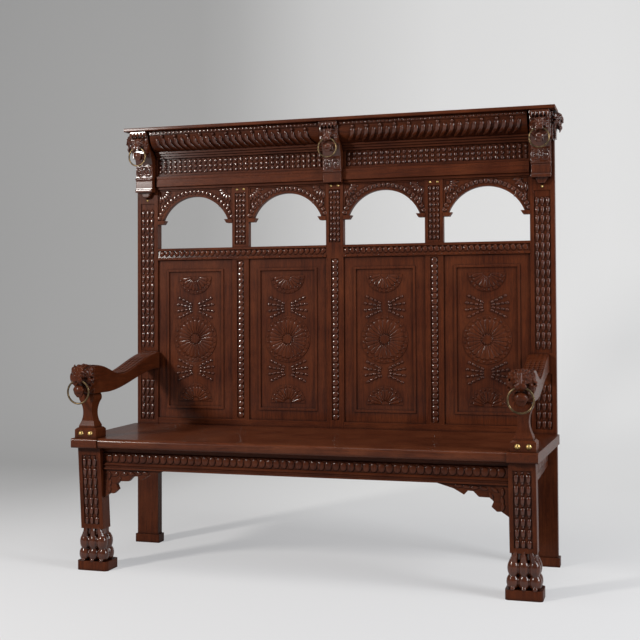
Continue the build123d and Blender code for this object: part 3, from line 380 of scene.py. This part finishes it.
path_group, path_tree, given = geometry_tree("carved_along_path", SHARED + [
    ("Path", "NodeSocketObject"), ("Count", "NodeSocketInt")])
path = path_tree.add("GeometryNodeObjectInfo", {"transform_space": "ORIGINAL"}, {
    "Object": given["Path"]}, out="Geometry")
steps = path_tree.add("GeometryNodeResampleCurve", None, {"Curve": path, "Count": given["Count"]})
way = path_tree.add("ShaderNodeSeparateXYZ", None, {
    "Vector": path_tree.add("GeometryNodeInputTangent")}, out="Y")
tilt = path_tree.add("ShaderNodeMath", {"operation": "ARCTAN2"}, {0: way * -1.0, 1: way.at("Z")})
turn = path_tree.add("FunctionNodeEulerToRotation", None, {
    "Euler": path_tree.add("ShaderNodeCombineXYZ", None, {"X": tilt})})
finish_tree(path_tree, steps, given, turn)


def carve(name, group, cutter, seed, wood=None, **sizes):
    """Run one of the trees and keep the carving as a plain mesh.

    Each size goes to the input of that name, with spaces for the underscores.
    """
    holder = place_object(name + "_work", bpy.data.meshes.new(name + "_work"))
    modifier = holder.modifiers.new("carving", "NODES")
    modifier.node_group = group
    values = {"Cutter": cutter, "Wood": wood or oak_carved, "Seed": seed}
    values.update({key.replace("_", " ").capitalize(): value for key, value in sizes.items()})
    for item in group.interface.items_tree:
        if item.in_out == "INPUT":
            modifier[item.identifier] = values[item.name]
    return plain_copy(holder, name)


def join(name, pieces):
    """Several plain meshes as one, in the first one's material."""
    shape = bmesh.new()
    for piece in pieces:
        shape.from_mesh(piece.data)
    mesh = bpy.data.meshes.new(name)
    shape.to_mesh(mesh)
    shape.free()
    woods = [wood for wood in pieces[0].data.materials if wood]
    if woods:
        mesh.materials.append(woods[0])
    for polygon in mesh.polygons:
        polygon.material_index = 0
    for piece in pieces:
        bpy.data.objects.remove(piece)
    return place_object(name, mesh)


def rows(name, cutter, seed, start, columns, column_step, count, row_step,
         turn=(0.0, 0.0, 0.0), wood=None):
    """Cuts in columns along one step, each with a count of cuts along the other step."""
    return carve(name, rows_group, cutter, seed, wood, start=start, columns=columns,
                 column_step=column_step, rows=count, row_step=row_step, turn=turn)


def fan(name, cutter, seed, centre, count, radius, first, step, wood=None):
    """Cuts on a circle, each turned away from its centre."""
    return carve(name, fan_group, cutter, seed, wood, centre=centre, count=count, radius=radius,
                 first_angle=first, angle_step=step)


def mm(*sizes):
    """Millimetres as metres."""
    return tuple(size / 1000.0 for size in sizes)


ONE_COLUMN = (1, mm(1, 0, 0))
ONE_ROW = (1, mm(0, 0, 1))


def shaped(name, width, height, rise, power=0.75, top=0.0, lean=0.0):
    """A mound given in millimetres; lean moves its crown down towards the lower end."""
    outline = [mm(x, z) for x, z in oval(width, height, 12, power, top)]
    return carved_shape(name, outline, domed(rise / 1000.0), (0.0, -lean / 1000.0))


# The cuts of the posts, muntings, rails, legs and arches
post_tongue = shaped("post_tongue", 13.5, 26.5, 5.6, 0.7, 0.10, 5.0)
post_bead = shaped("post_bead", 7.0, 7.0, 3.6, 1.0)
frieze_tongue = shaped("frieze_tongue", 12.8, 17.6, 5.6, 0.75, 0.08, 3.0)
munting_tongue = shaped("munting_tongue", 9.6, 17.0, 4.8, 0.75, 0.1, 3.0)
coin = shaped("coin", 25.0, 24.0, 4.2, 0.9, 0.0, 5.0)
lunette = shaped("lunette", 19.0, 24.0, 5.2, 0.7, 0.25, 4.0)
rail_bead = shaped("rail_bead", 6.5, 6.5, 3.4, 1.0)
apron_lunette = shaped("apron_lunette", 26.5, 31.0, 4.2, 0.85, 0.15, 5.0)
arch_coin = shaped("arch_coin", 15.5, 19.0, 4.4, 0.85, 0.15, -2.0)

# Posts: two fields, each three tongues wide with beads between the tongues
THREE_WIDE = (3, mm(19.6, 0, 0))
FIRST_OF_THREE = 0.0196  # how far the first of the three stands left of the middle
POST_FIELDS = ((0.808, 17), (0.517, 5))  # height of the lowest row and number of rows
POST_STEP = mm(0, 0, 33.0)
for side, sign in SIDES:
    first_x = sign * POST_X - FIRST_OF_THREE
    field_y = POST_FACE + FIELD_SINK
    parts = []
    for seed, (low, count) in enumerate(POST_FIELDS):
        parts.append(rows(f"tongues_{seed}", post_tongue, 10 + seed, (first_x, field_y, low),
                          *THREE_WIDE, count, POST_STEP))
        parts.append(rows(f"beads_{seed}", post_bead, 20 + seed, (first_x, field_y, low - 0.0163),
                          *THREE_WIDE, count, POST_STEP))
    settle(join(f"post_carving_{side}", parts))

# Muntings: three rows of small tongues beside the arches, a chain of coins between the panels
frame_field_y = FRAME_FACE + FIELD_SINK
for number, munting_x in enumerate(MUNTINGS, start=1):
    upper = rows("upper", munting_tongue, 30 + number, (munting_x - 0.0146, frame_field_y, 1.210),
                 3, mm(14.6, 0, 0), 10, mm(0, 0, 20.6))
    chain = rows("chain", coin, 40 + number, (munting_x, frame_field_y, 0.524), *ONE_COLUMN, 28,
                 mm(0, 0, 22.2))
    settle(join(f"munting_carving_{number}", [upper, chain]))

# Mid rail, frieze and legs; the legs' faces lean back by 36 mm over 413 mm
LEG_SLOPE = math.atan(36.0 / 413.0)
LEG_STEP = mm(0, -35.5 * math.tan(LEG_SLOPE), 35.5)
LEG_FIRST_Z = 182.0
leg_y = -0.246 + 0.036 * (446.0 - LEG_FIRST_Z) / 413.0 + 0.0026
rail_y = FRAME_FACE + 0.002
for side, sign in SIDES:
    rail_step = mm(sign * 22.0, 0, 0)
    slanted = rows("slanted", lunette, 50, (sign * 0.047, rail_y, 1.1665), 32, rail_step, *ONE_ROW,
                   (math.radians(4.0), sign * math.radians(-24.0), 0.0), oak_low_relief)
    beads = rows("beads", rail_bead, 51, (sign * 0.047, rail_y - 0.004, 1.1463), 32, rail_step,
                 *ONE_ROW, wood=oak_low_relief)
    settle(join(f"mid_rail_carving_{side}", [slanted, beads]))
    frieze = rows("frieze", frieze_tongue, 60, (sign * 0.0575, frame_field_y, 1.5015), 32,
                  mm(sign * 21.9, 0, 0), 3, mm(0, 0, 19.6))
    settle(join(f"frieze_carving_{side}", [frieze]))
    first_x = sign * LEG_X - FIRST_OF_THREE
    leg = rows("leg", post_tongue, 70, (first_x, leg_y, LEG_FIRST_Z / 1000.0), *THREE_WIDE, 7,
               LEG_STEP, (LEG_SLOPE, 0.0, 0.0))
    dots = rows("dots", post_bead, 71, (first_x, leg_y - 0.0015, 0.1995), *THREE_WIDE, 7, LEG_STEP,
                (LEG_SLOPE, 0.0, 0.0))
    settle(join(f"leg_carving_{side}", [leg, dots]))

# Apron and side rails carry the same row of lunettes, just under the seat
LUNETTE_PITCH, LUNETTE_Z = 26.5, 0.4085
settle(rows("apron_carving", apron_lunette, 80, (-0.702, -0.219 + 0.0005, LUNETTE_Z), 54,
            mm(LUNETTE_PITCH, 0, 0), *ONE_ROW, wood=oak_low_relief))

# Arches: a band of coins round each opening and leaves in the corners
arch_leaf = carved_shape("arch_leaf", [mm(x, z) for x, z in (
    (0, -17), (5, -9), (7, 0), (5.5, 9), (1, 18), (-4, 10), (-6, 2), (-4.5, -8))], domed(0.0042))
OUTER_ARCH, INNER_ARCH = (0.1529, 1.2431), (0.15066, 1.24534)  # radius and height of the centre
for number, bay_x in enumerate(BAYS, start=1):
    arch_radius, arch_z = OUTER_ARCH if number in (1, 4) else INNER_ARCH
    parts = [fan("band", arch_coin, 90 + number, (bay_x, POST_FACE + 0.005, arch_z), 23,
                 arch_radius + 0.0175, math.radians(23.5), math.radians(133.0 / 22.0))]
    for sign in (-1.0, 1.0):
        corner = (bay_x + sign * 0.150, POST_FACE + 0.0078, 1.420)
        first = math.radians(270.0 if sign < 0 else 186.0)
        parts.append(fan("leaves", arch_leaf, 95, corner, 5, 0.032, first, math.radians(21.0)))
        parts.append(fan("low_leaves", arch_leaf, 96, corner, 3, 0.066,
                         math.radians(276.0 if sign < 0 else 236.0), math.radians(14.0)))
    settle(join(f"arch_carving_{number}", parts))


# Panels: a rosette, two fans and sprays of wheat between them
def petal(name, inner, outer, inner_width, outer_width, rise):
    """A petal that lies from the inner to the outer radius along Z, about the middle radius."""
    middle = (inner + outer) / 2
    tip = outer_width / 2
    outline = [(-inner_width / 2, inner - middle), (inner_width / 2, inner - middle),
               (tip * 0.8, outer * 0.62 + inner * 0.38 - middle), (tip, outer - tip - middle),
               (tip * 0.7, outer - tip * 0.3 - middle), (0.0, outer - middle),
               (-tip * 0.7, outer - tip * 0.3 - middle), (-tip, outer - tip - middle),
               (-tip * 0.8, outer * 0.62 + inner * 0.38 - middle)]
    return carved_shape(name, [mm(x, z) for x, z in outline], domed(rise / 1000.0))


rose_petal = petal("rose_petal", 19.0, 78.0, 3.6, 18.8, 1.5)
rim_dot = shaped("rim_dot", 9.0, 8.0, 2.4, 1.0)
fan_petal = petal("fan_petal", 14.0, 58.0, 4.0, 15.0, 2.0)
fan_dot = shaped("fan_dot", 8.5, 8.0, 2.4, 1.0)
grain = carved_shape("wheat_grain", [mm(x, z) for x, z in (
    (0, -8.0), (3.8, -5), (5.0, 0), (3.8, 5), (0, 8.0), (-3.8, 5), (-5.0, 0), (-3.8, -5))],
    ((1.0, 0.0), (0.92, 0.0022), (0.72, 0.0036), (0.45, 0.0042)))
PANEL_GROUND = POST_FACE + 0.0085  # y of the sunk ground of a panel
ROUND_FACE = PANEL_GROUND - 0.0018  # y of the discs under the rosette and the fans
ROSE_Z = 0.823
FANS = ((193.0, 1.072), (13.0, 0.574))  # angle of the first petal and height of the fan's root
FAN_STEP = math.radians(154.0 / 9.0)
WHEAT_HEIGHTS = (0.9475, 0.6985)
WHEAT_TURNS = (-25.0, -8.3, 8.3, 25.0)
WHEAT_REACH, GRAIN_PITCH = 0.038, 0.0175
for number, bay_x in enumerate(BAYS, start=1):
    parts = [
        fan("petals", rose_petal, 100 + number, (bay_x, ROUND_FACE, ROSE_Z), 24, 0.0485, 0.0,
            math.radians(15.0), oak_low_relief),
        fan("rim", rim_dot, 104, (bay_x, ROUND_FACE, ROSE_Z), 24, 0.0835, math.radians(7.5),
            math.radians(15.0), oak_low_relief),
        fan("hub", rim_dot, 105, (bay_x, ROUND_FACE - 0.001, ROSE_Z), 12, 0.0165, 0.0,
            math.radians(30.0), oak_low_relief),
    ]
    for first, root_z in FANS:
        root = (bay_x, ROUND_FACE, root_z)
        parts.append(fan("fan", fan_petal, 110, root, 10, 0.036, math.radians(first), FAN_STEP,
                         oak_low_relief))
        parts.append(fan("ends", fan_dot, 111, root, 10, 0.0635, math.radians(first), FAN_STEP,
                         oak_low_relief))
    wheat = []
    for facing, side in ((180.0, -1.0), (0.0, 1.0)):
        for middle_z in WHEAT_HEIGHTS:
            for turn_deg in WHEAT_TURNS:
                away = math.radians(facing + turn_deg)
                across, along = math.cos(away), math.sin(away)
                start = (bay_x - side * 0.015 + across * WHEAT_REACH, PANEL_GROUND - 0.0004,
                         middle_z + along * WHEAT_REACH)
                wheat.append(rows("wheat", grain, 120, start, *ONE_COLUMN, 4,
                                  (across * GRAIN_PITCH, 0.0, along * GRAIN_PITCH),
                                  (0.0, math.pi / 2 - away, 0.0), oak_chips))
    settle(join(f"panel_carving_{number}", parts))
    settle(join(f"panel_wheat_{number}", wheat))

# Cornice: slanted gadroons with pearls at their heads, under a band of leaves
COVE_SLOPE = math.atan(48.0 / 60.0)
CORNICE_TOP_Y = POST_FACE - 0.0785
GADROON = ((7, 26), (3, 31), (-3, 30), (-7, 22), (-6, 10), (1, -6), (11, -20), (21, -30),
           (30, -36), (31, -31), (25, -20), (17, -6), (10, 8))
for side, sign in SIDES:
    outline = [mm(-sign * x, z) for x, z in GADROON]
    drop = carved_shape(f"gadroon_{side}", outline, domed(0.0062), bend=0.0125, reach=0.0384)
    pearl = shaped(f"pearl_{side}", 13.0, 13.0, 7.0, 1.0)
    band_leaf = shaped(f"band_leaf_{side}", 13.0, 11.0, 3.6, 0.8, 0.3, 2.0)
    drops = rows("drops", drop, 130, (sign * 0.094, POST_FACE - 0.0497, 1.6100), 24,
                 mm(sign * 27.25, 0, 0), *ONE_ROW, (COVE_SLOPE, 0.0, 0.0))
    pearls = rows("pearls", pearl, 131, (sign * 0.094, CORNICE_TOP_Y, 1.6330), 12,
                  mm(sign * 54.5, 0, 0), *ONE_ROW, (COVE_SLOPE * 0.6, 0.0, 0.0))
    leaves = rows("leaves", band_leaf, 132, (sign * 0.050, CORNICE_TOP_Y, 1.6475), 43,
                  mm(sign * 16.4, 0, 0), *ONE_ROW)
    settle(join(f"cornice_carving_{side}", [drops, pearls, leaves]))


# Sculpted pieces: clay made of balls and locks, fired into one closed skin
def trimmed(node, point, normal):
    """A merged copy of a node's solid without what lies past a plane, closed again."""
    block = bmesh.new()
    block.from_mesh(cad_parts[node].data)
    bmesh.ops.transform(block, matrix=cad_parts[node].matrix_world, verts=block.verts)
    bmesh.ops.remove_doubles(block, verts=block.verts, dist=0.00002)
    cut = bmesh.ops.bisect_plane(
        block, geom=block.verts[:] + block.edges[:] + block.faces[:], plane_co=point,
        plane_no=normal, clear_outer=True)
    rim = [part for part in cut["geom_cut"] if isinstance(part, bmesh.types.BMEdge)]
    bmesh.ops.triangle_fill(block, edges=rim, use_beauty=True)
    bmesh.ops.recalc_face_normals(block, faces=block.faces)
    mesh = bpy.data.meshes.new(node + "_block")
    block.to_mesh(mesh)
    block.free()
    return mesh


class Clay:
    """A lump of overlapping shapes that is fired into one skin."""

    def __init__(self, origin, size=1.0, turn=None):
        self.shape = bmesh.new()
        self.stand(origin, size, turn)

    def stand(self, origin, size=1.0, turn=None):
        """Work in millimetres from this origin."""
        scale = size / 1000.0
        self.frame = Matrix.Translation(origin) @ (turn or Matrix.Identity(4)) @ Matrix.Diagonal(
            (scale, scale, scale, 1.0))

    def ball(self, centre, radii, turn=(0.0, 0.0, 0.0), detail=2):
        radii = radii if isinstance(radii, tuple) else (radii, radii, radii)
        spin = Euler([math.radians(value) for value in turn]).to_matrix().to_4x4()
        place = self.frame @ Matrix.Translation(centre) @ spin @ Matrix.Diagonal((*radii, 1.0))
        bmesh.ops.create_icosphere(self.shape, subdivisions=detail, radius=1.0, matrix=place)

    def bar(self, low, high):
        middle = [(first + last) / 2 for first, last in zip(low, high)]
        size = [last - first for first, last in zip(low, high)]
        place = self.frame @ Matrix.Translation(middle) @ Matrix.Diagonal((*size, 1.0))
        bmesh.ops.create_cube(self.shape, size=1.0, matrix=place)

    def lock(self, points, radii):
        """A tapering strand through the points."""
        points = [Vector(point) for point in points]
        for start, end, first, last in zip(points, points[1:], radii, radii[1:]):
            count = max(2, int((end - start).length / (min(first, last) * 0.6)))
            for step in range(count + 1):
                share = step / count
                radius = first + (last - first) * share
                self.ball(start.lerp(end, share), radius, detail=1)

    def solid(self, node, point, normal):
        """The node's own solid, up to a plane."""
        mesh = trimmed(node, point, normal)
        self.shape.from_mesh(mesh)
        bpy.data.meshes.remove(mesh)

    def fired(self, name, voxel, wood, soften=2):
        """The lump as a plain mesh with one closed skin, rubbed a little smooth."""
        for face in self.shape.faces:
            face.smooth = True
        mesh = bpy.data.meshes.new(name + "_clay")
        self.shape.to_mesh(mesh)
        self.shape.free()
        mesh.materials.append(wood)
        piece = place_object(name + "_clay", mesh)
        skin = piece.modifiers.new("skin", "REMESH")
        skin.mode = "VOXEL"
        skin.voxel_size = voxel
        skin.use_smooth_shade = True
        rub = piece.modifiers.new("rub", "SMOOTH")
        rub.factor = 0.5
        rub.iterations = soften
        piece = plain_copy(piece, name)
        piece.data.materials.clear()
        piece.data.materials.append(wood)
        return piece


def lion_face(clay, ahead=0.0):
    """A lion's face in millimetres round the middle of its skull, looking to -Y.

    The muzzle stands out by ahead. The mouth stays open behind the lips, from side to side, for
    the ring.
    """
    a = ahead
    # Skull, nose, tip of the nose, ridge of the forehead
    clay.ball((0, -16 - a, 19), (27, 19, 16.5), detail=3)
    clay.lock([(0, -34 - a, 25), (0, -41.4 - a, 13), (0, -42.6 - a, 5)], (6.0, 5.2, 5.4))
    clay.ball((0, -43.8 - a, 2.5), (8.4, 3.0, 4.4))
    clay.lock([(0, -37 - a, 20), (0, -35 - a, 30), (0, -24 - a, 38)], (3.2, 4.4, 3.0))
    for sign in (-1.0, 1.0):
        # Brow, eye, lower lid, lip, muzzle, jaw, cheek, and the two parts of an ear
        clay.lock([(sign * 5, -37 - a, 17), (sign * 13, -37 - a, 20), (sign * 22, -27 - a, 14)],
                  (4.4, 5.8, 3.8))
        clay.ball((sign * 12.5, -33.5 - a, 10.5), (5.4, 4.4, 4.4))
        clay.lock([(sign * 7, -36 - a, 6), (sign * 14, -35 - a, 5), (sign * 20, -28 - a, 7)],
                  (2.2, 2.6, 2.0))
        clay.ball((sign * 8.5, -41.6 - a, -3.2), (8.6, 4.4, 7.4), (0, 0, sign * 10))
        clay.ball((sign * 8, -37 - a, 8.4), (8.4, 8.0, 6.4))
        clay.ball((sign * 22, -14.0 - a * 0.7, -3), (8.6, 9.6, 13.0))
        clay.ball((sign * 19, -20 - a, 12), (8.0, 9.0, 9.0))
        clay.ball((sign * 27, -9, 25), (8.0, 6.0, 9.0), (0, sign * 28, 0))
        clay.ball((sign * 28, -14, 25), (3.6, 3.6, 5.0), (0, sign * 28, 0))
    # Chin under the ring
    low = a * 0.8
    clay.lock([(0, -8, -30), (0, -20 - low, -29), (0, -29 - low, -29)], (8.5, 8.5, 8.0))
    clay.ball((0, -30 - low, -31), (18.0, 11.0, 12.5), detail=3)
    # Mane round the head, set back at the bottom to clear the ring
    for number in range(15):
        angle = math.radians(-52 + number * 284.0 / 14)
        across, up = math.cos(angle), math.sin(angle)
        front = -13 if up < -0.3 else -19 - a * 0.6
        wave = 3.0 if number % 2 else -2.0
        slip_x, slip_z = -up * wave, across * wave
        clay.lock([
            (across * 24, front, up * 23 + 3),
            (across * 31 + slip_x, front + 2, up * 30 + 3 + slip_z),
            (across * 36 - slip_x, -8, up * 36 + 3 - slip_z),
            (across * 35, 3, up * 36 + 3)], (4.0, 5.4, 4.4, 2.8))
    # Forelock and beard
    for across in (-12, -5, 5, 12):
        clay.lock([(across * 0.8, -36 - a, 21), (across * 1.2, -32 - a, 31),
                   (across * 1.7, -18 - a, 38)], (2.8, 4.0, 2.8))
    for across in (-11, -4, 4, 11):
        clay.lock([(across, -32 - low, -31), (across, -31 - low, -40),
                   (across * 0.5, -28 - low, -52)], (4.2, 4.8, 2.2))


FORWARD = (0.0, -1.0, 0.0)
PLINTH_TOP = 0.0332  # the paws stand flat on their plinths
CONSOLES = (("console_head_left", -POST_X, "corner_console_left"),
            ("corbel_head", 0.0, "centre_corbel"),
            ("console_head_right", POST_X, "corner_console_right"))
for name, centre_x, node in CONSOLES:
    clay = Clay((centre_x, POST_FACE - 0.062, 1.590))
    clay.solid(node, (0.0, POST_FACE - 0.0792, 0.0), FORWARD)
    lion_face(clay)
    # The fluted cap over the head, and two ovals between rolls on the block below it
    clay.stand((centre_x, POST_FACE, 0.0))
    clay.bar((-36, -93.5, 1638.5), (36, -60, 1654.6))
    for across in range(-28, 29, 14):
        clay.lock([(across, -93, 1644), (across, -91, 1635), (across * 0.94, -82, 1628)],
                  (4.6, 5.0, 3.2))
    for sign in (-1.0, 1.0):
        for step in range(16):
            angle = step * math.pi / 8
            rim_x, rim_z = 12.5 * math.cos(angle), 16.5 * math.sin(angle)
            clay.ball((sign * 17 + rim_x, -33, 1500 + rim_z), 3.4, detail=1)
        clay.ball((sign * 17, -33, 1500), (5.6, 4.6, 8.6))
    clay.lock([(-34, -33, 1470), (34, -33, 1470)], (5.6, 5.6))
    clay.lock([(-34, -33, 1521), (34, -33, 1521)], (3.6, 3.6))
    settle(clay.fired(name, 0.0014, oak_carved), nodes=(node,))

for side, sign in SIDES:
    # The arm: the sawn shape up to the front of its end, with its lion head
    clay = Clay((sign * ARM_X, POST_FACE - 0.55475, 0.6955), 1.25)
    clay.solid(f"arm_{side}", (0.0, POST_FACE - 0.560, 0.0), FORWARD)
    clay.ball((0, 8, 6), (36, 29, 34), detail=3)
    lion_face(clay, -1.6)
    settle(clay.fired(f"arm_carved_{side}", 0.0018, oak_arm, 3), nodes=(f"arm_{side}",))
    # The mask on the outer side of the corner console
    clay = Clay((sign * 0.838, POST_FACE - 0.022, 1.6185), 0.79,
                Matrix.Rotation(sign * math.pi / 2, 4, "Z"))
    clay.solid(f"side_mask_{side}", (sign * 0.850, 0.0, 0.0), (sign, 0.0, 0.0))
    clay.ball((0, -25, -9), (20, 14, 21), detail=3)
    lion_face(clay)
    settle(clay.fired(f"side_mask_carved_{side}", 0.0014, oak_carved), nodes=(f"side_mask_{side}",))
    # The leg above the paw keeps its sawn shape
    shaft = place_object(f"leg_shaft_{side}", trimmed(
        f"front_leg_{side}", (0.0, 0.0, 0.150), (0.0, 0.0, -1.0)))
    shaft.data.materials.append(oak_upright)
    settle(shaft, nodes=(f"front_leg_{side}",))
    # The paw: toes in two tiers, with sinews that run up the leg
    clay = Clay((sign * LEG_X, -0.210, 0.033))
    clay.ball((0, 30, 50), (48, 28, 66), detail=3)
    clay.bar((-40, -2, 96), (40, 42, 118.5))
    for across in (-36.0, 0.0, 36.0):
        clay.ball((across, 4.5, 24), (21.5, 20.0, 28), detail=3)
        clay.ball((across * 0.94, 2, 68), (20.0, 19.5, 31), detail=3)
        clay.lock([(across, 4.5, 12), (across * 0.95, 4, 88)], (16.5, 16.0))
        clay.lock([(across * 0.90, 0, 88), (across * 0.80, -4, 106), (across * 0.66, -6, 126)],
                  (15.5, 11.5, 5.0))
        clay.ball((across, -13, 4), (8.5, 5.0, 7.0))
    for out in (-1.0, 1.0):
        clay.ball((out * 39, 42, 24), (18.5, 22, 28), detail=3)
        clay.ball((out * 37, 38, 68), (18.0, 21, 31), detail=3)
        clay.lock([(out * 39, 40, 12), (out * 37, 38, 88)], (14.5, 14.5))
        clay.lock([(out * 36, 34, 88), (out * 34, 30, 106), (out * 38, 26, 124)], (14.0, 10.5, 4.6))
    paw = clay.fired(f"paw_{side}", 0.0017, oak_carved)
    for corner in paw.data.vertices:
        corner.co.z = max(corner.co.z, PLINTH_TOP)
    settle(paw)

# Scales along the top of each arm: rows of four that follow the line of the arm
scale_outline = oval(17.5, 25.0, 10, 0.8, 0.1)
scale_row = [
    carved_shape("scale", [mm(x + across, z) for x, z in scale_outline], domed(0.0034),
                 (0.0, -0.005))
    for across in (-24.0, -8.0, 8.0, 24.0)]
scale_band = join("scale_band", scale_row)
scale_band.hide_render = True
cutters.append(scale_band.name)
# The line of the arm's top, as y and z
ARM_TOP = ((-0.235, 0.7385), (-0.200, 0.7355), (-0.160, 0.7262), (-0.110, 0.7105), (-0.065, 0.7009),
           (-0.010, 0.7024), (0.045, 0.7141), (0.110, 0.7327), (0.180, 0.7521), (0.270, 0.7680))
for side, sign in SIDES:
    curve = bpy.data.curves.new(f"arm_line_{side}", "CURVE")
    curve.dimensions = "3D"
    spline = curve.splines.new("NURBS")
    spline.points.add(len(ARM_TOP) - 1)
    for point, (y, z) in zip(spline.points, ARM_TOP):
        point.co = (sign * ARM_X, y, z, 1.0)
    spline.order_u = 3
    spline.use_endpoint_u = True
    line = place_object(f"arm_line_{side}", curve)
    cutters.append(line.name)
    settle(carve(f"arm_scales_{side}", path_group, scale_band, 140, oak_arm, path=line, count=26))

# Leaves on the brackets and the side rails
bracket_leaf = carved_shape("bracket_leaf", [mm(x, z) for x, z in (
    (0, -17), (6, -10), (8.5, -1), (7, 8), (2, 15), (-2, 9), (-6, 3), (-5, -8))], domed(0.0042))
BRACKET_END_X = 0.727  # where the right bracket meets its leg
BRACKET_LEAVES = (  # distance from that end and height in millimetres, and lean in degrees
    (22, 345, 0), (24, 318, 12), (48, 350, 60), (60, 330, 30), (84, 352, 80), (112, 354, 95),
    (140, 356, 85), (166, 358, 92), (22, 297, -6))
SURFACE_BITE = 0.0004  # how deep a leaf's ground sits in the wood
for side, sign in SIDES:
    bracket_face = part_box(f"bracket_{side}")[0][1]
    parts = []
    for number, (inward, z, lean) in enumerate(BRACKET_LEAVES):
        spot = (sign * (BRACKET_END_X - inward / 1000.0), bracket_face + SURFACE_BITE, z / 1000.0)
        parts.append(rows("leaf", bracket_leaf, 150 + number, spot, *ONE_COLUMN, *ONE_ROW,
                          (0.0, -sign * math.radians(lean), 0.0), oak_low_relief))
    settle(join(f"bracket_carving_{side}", parts))
    rail_low, rail_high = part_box(f"side_rail_{side}")
    edge_x = rail_high[0] if sign > 0 else rail_low[0]
    first_leaf = (edge_x - sign * SURFACE_BITE, -0.160, LUNETTE_Z)
    leaves = rows("rail_leaf", apron_lunette, 160, first_leaf, *ONE_COLUMN, 16,
                  mm(0, LUNETTE_PITCH, 0), (0.0, 0.0, sign * math.pi / 2), oak_low_relief)
    settle(join(f"side_rail_carving_{side}", [leaves]))

# The cutters have done their work; those joined into a band are gone already
for name in cutters:
    if name in bpy.data.objects:
        bpy.data.objects.remove(bpy.data.objects[name])

# Floor and backdrop: pale paper, with painted shade that makes the upright part darker to the left
material, tree = new_material("studio_paper")
place = tree.add("ShaderNodeTexCoord", out="Object")
split = tree.add("ShaderNodeSeparateXYZ", None, {"Vector": place})
across = tree.add("ShaderNodeMapRange", None, {
    "Value": split, "From Min": -3.2, "From Max": 1.6, "To Min": 0.0, "To Max": 1.0})
# Painted shade: the tone of the upright part falls from right to left, as the light does
wall_with_painted_shade = tree.ramp(across, (
    (0.0, 0.17), (0.24, 0.165), (0.30, 0.20), (0.43, 0.35), (0.62, 0.475), (0.85, 0.515),
    (1.0, 0.50)))
near = tree.add("ShaderNodeMapRange", {"interpolation_type": "SMOOTHSTEP"}, {
    "Value": split.at("Y"), "From Min": 2.4, "From Max": -0.9, "To Min": 0.0, "To Max": 1.0})
glow = tree.blend(near, wall_with_painted_shade, colour(0.375, 0.375, 0.385))
rays = [tree.add("ShaderNodeLightPath", out=ray) for ray in (
    "Is Camera Ray", "Is Glossy Ray", "Is Transmission Ray")]
seen = tree.add("ShaderNodeMath", {"operation": "MAXIMUM"}, {0: rays[0], 1: rays[2]})
seen = tree.add("ShaderNodeMath", {"operation": "MAXIMUM"}, {0: seen, 1: rays[1]})
paper = tree.add("ShaderNodeBsdfDiffuse", None, {"Color": colour(0.34, 0.34, 0.34)})
light = tree.add("ShaderNodeEmission", None, {"Color": glow, "Strength": seen})
both = tree.add("ShaderNodeAddShader", None, {0: paper, 1: light})
tree.add("ShaderNodeOutputMaterial", None, {"Surface": both})
PAPER_FRONT, PAPER_TOP, PAPER_HALF = -7.0, 7.0, 9.0
CURVE_START, CURVE_RADIUS, CURVE_STEPS = 2.2, 1.6, 12
profile = [(PAPER_FRONT, 0.0), (CURVE_START, 0.0)]
for step in range(1, CURVE_STEPS + 1):
    angle = math.pi / 2 * step / CURVE_STEPS
    profile.append((CURVE_START + CURVE_RADIUS * math.sin(angle),
                    CURVE_RADIUS - CURVE_RADIUS * math.cos(angle)))
profile.append((CURVE_START + CURVE_RADIUS, PAPER_TOP))
corners = [(x, y, z) for y, z in profile for x in (-PAPER_HALF, PAPER_HALF)]
faces = [(2 * step, 2 * step + 1, 2 * step + 3, 2 * step + 2) for step in range(len(profile) - 1)]
mesh = bpy.data.meshes.new("studio_paper")
mesh.from_pydata(corners, [], faces)
mesh.materials.append(material)
for polygon in mesh.polygons:
    polygon.use_smooth = True
backdrop = place_object("studio_paper", mesh)

world = bpy.data.worlds.new("studio")
bpy.context.scene.world = world
world.use_nodes = True
sky = world.node_tree.nodes["Background"]
sky.inputs["Color"].default_value = colour(0.93, 0.96, 1.0)
sky.inputs["Strength"].default_value = 0.14


def lamp(name, place, target, width, height, power, tint=(1.0, 0.97, 0.93)):
    light = bpy.data.lights.new(name, "AREA")
    light.shape = "RECTANGLE"
    light.size = width
    light.size_y = height
    light.energy = power
    light.color = tint
    piece = place_object(name, light)
    piece.location = place
    aim = Vector(target) - Vector(place)
    piece.rotation_euler = aim.to_track_quat("-Z", "Y").to_euler()


lamp("window_left", (-2.8, -3.6, 2.5), (0.0, 0.0, 0.9), 0.5, 0.7, 190.0)
lamp("soft_right", (3.6, -1.2, 1.9), (0.4, 0.1, 0.9), 1.2, 2.2, 115.0, (0.94, 0.97, 1.0))
lamp("overhead", (0.2, -1.0, 4.0), (0.0, 0.2, 0.6), 2.4, 1.4, 42.0)

# The camera stands to the right and looks slightly up, as solved from the photo's corners
PICTURE = 640.0  # width and height of the picture in pixels
FOCAL = 1104.25  # focal length in pixels
CENTRE_ROW = 284.38  # row of the picture that the optical axis meets
SENSOR = 36.0
camera_data = bpy.data.cameras.new("camera")
camera_data.sensor_width = SENSOR
camera_data.lens = SENSOR * FOCAL / PICTURE
camera_data.shift_y = (CENTRE_ROW - PICTURE / 2) / PICTURE
camera = place_object("camera", camera_data)
yaw, pitch, roll = 0.2936, 0.0240, -0.0047
ahead = Vector((-math.sin(yaw) * math.cos(pitch), math.cos(yaw) * math.cos(pitch), math.sin(pitch)))
right = Vector((math.cos(yaw), math.sin(yaw), 0.0))
up = right.cross(ahead)
right, up = (right * math.cos(roll) + up * math.sin(roll),
             up * math.cos(roll) - right * math.sin(roll))
view = Matrix((right, up, -ahead)).transposed().to_4x4()
view.translation = (1.1812, -3.8198, 0.9328)
camera.matrix_world = view
bpy.context.scene.camera = camera
bpy.context.scene.view_settings.view_transform = "Standard"
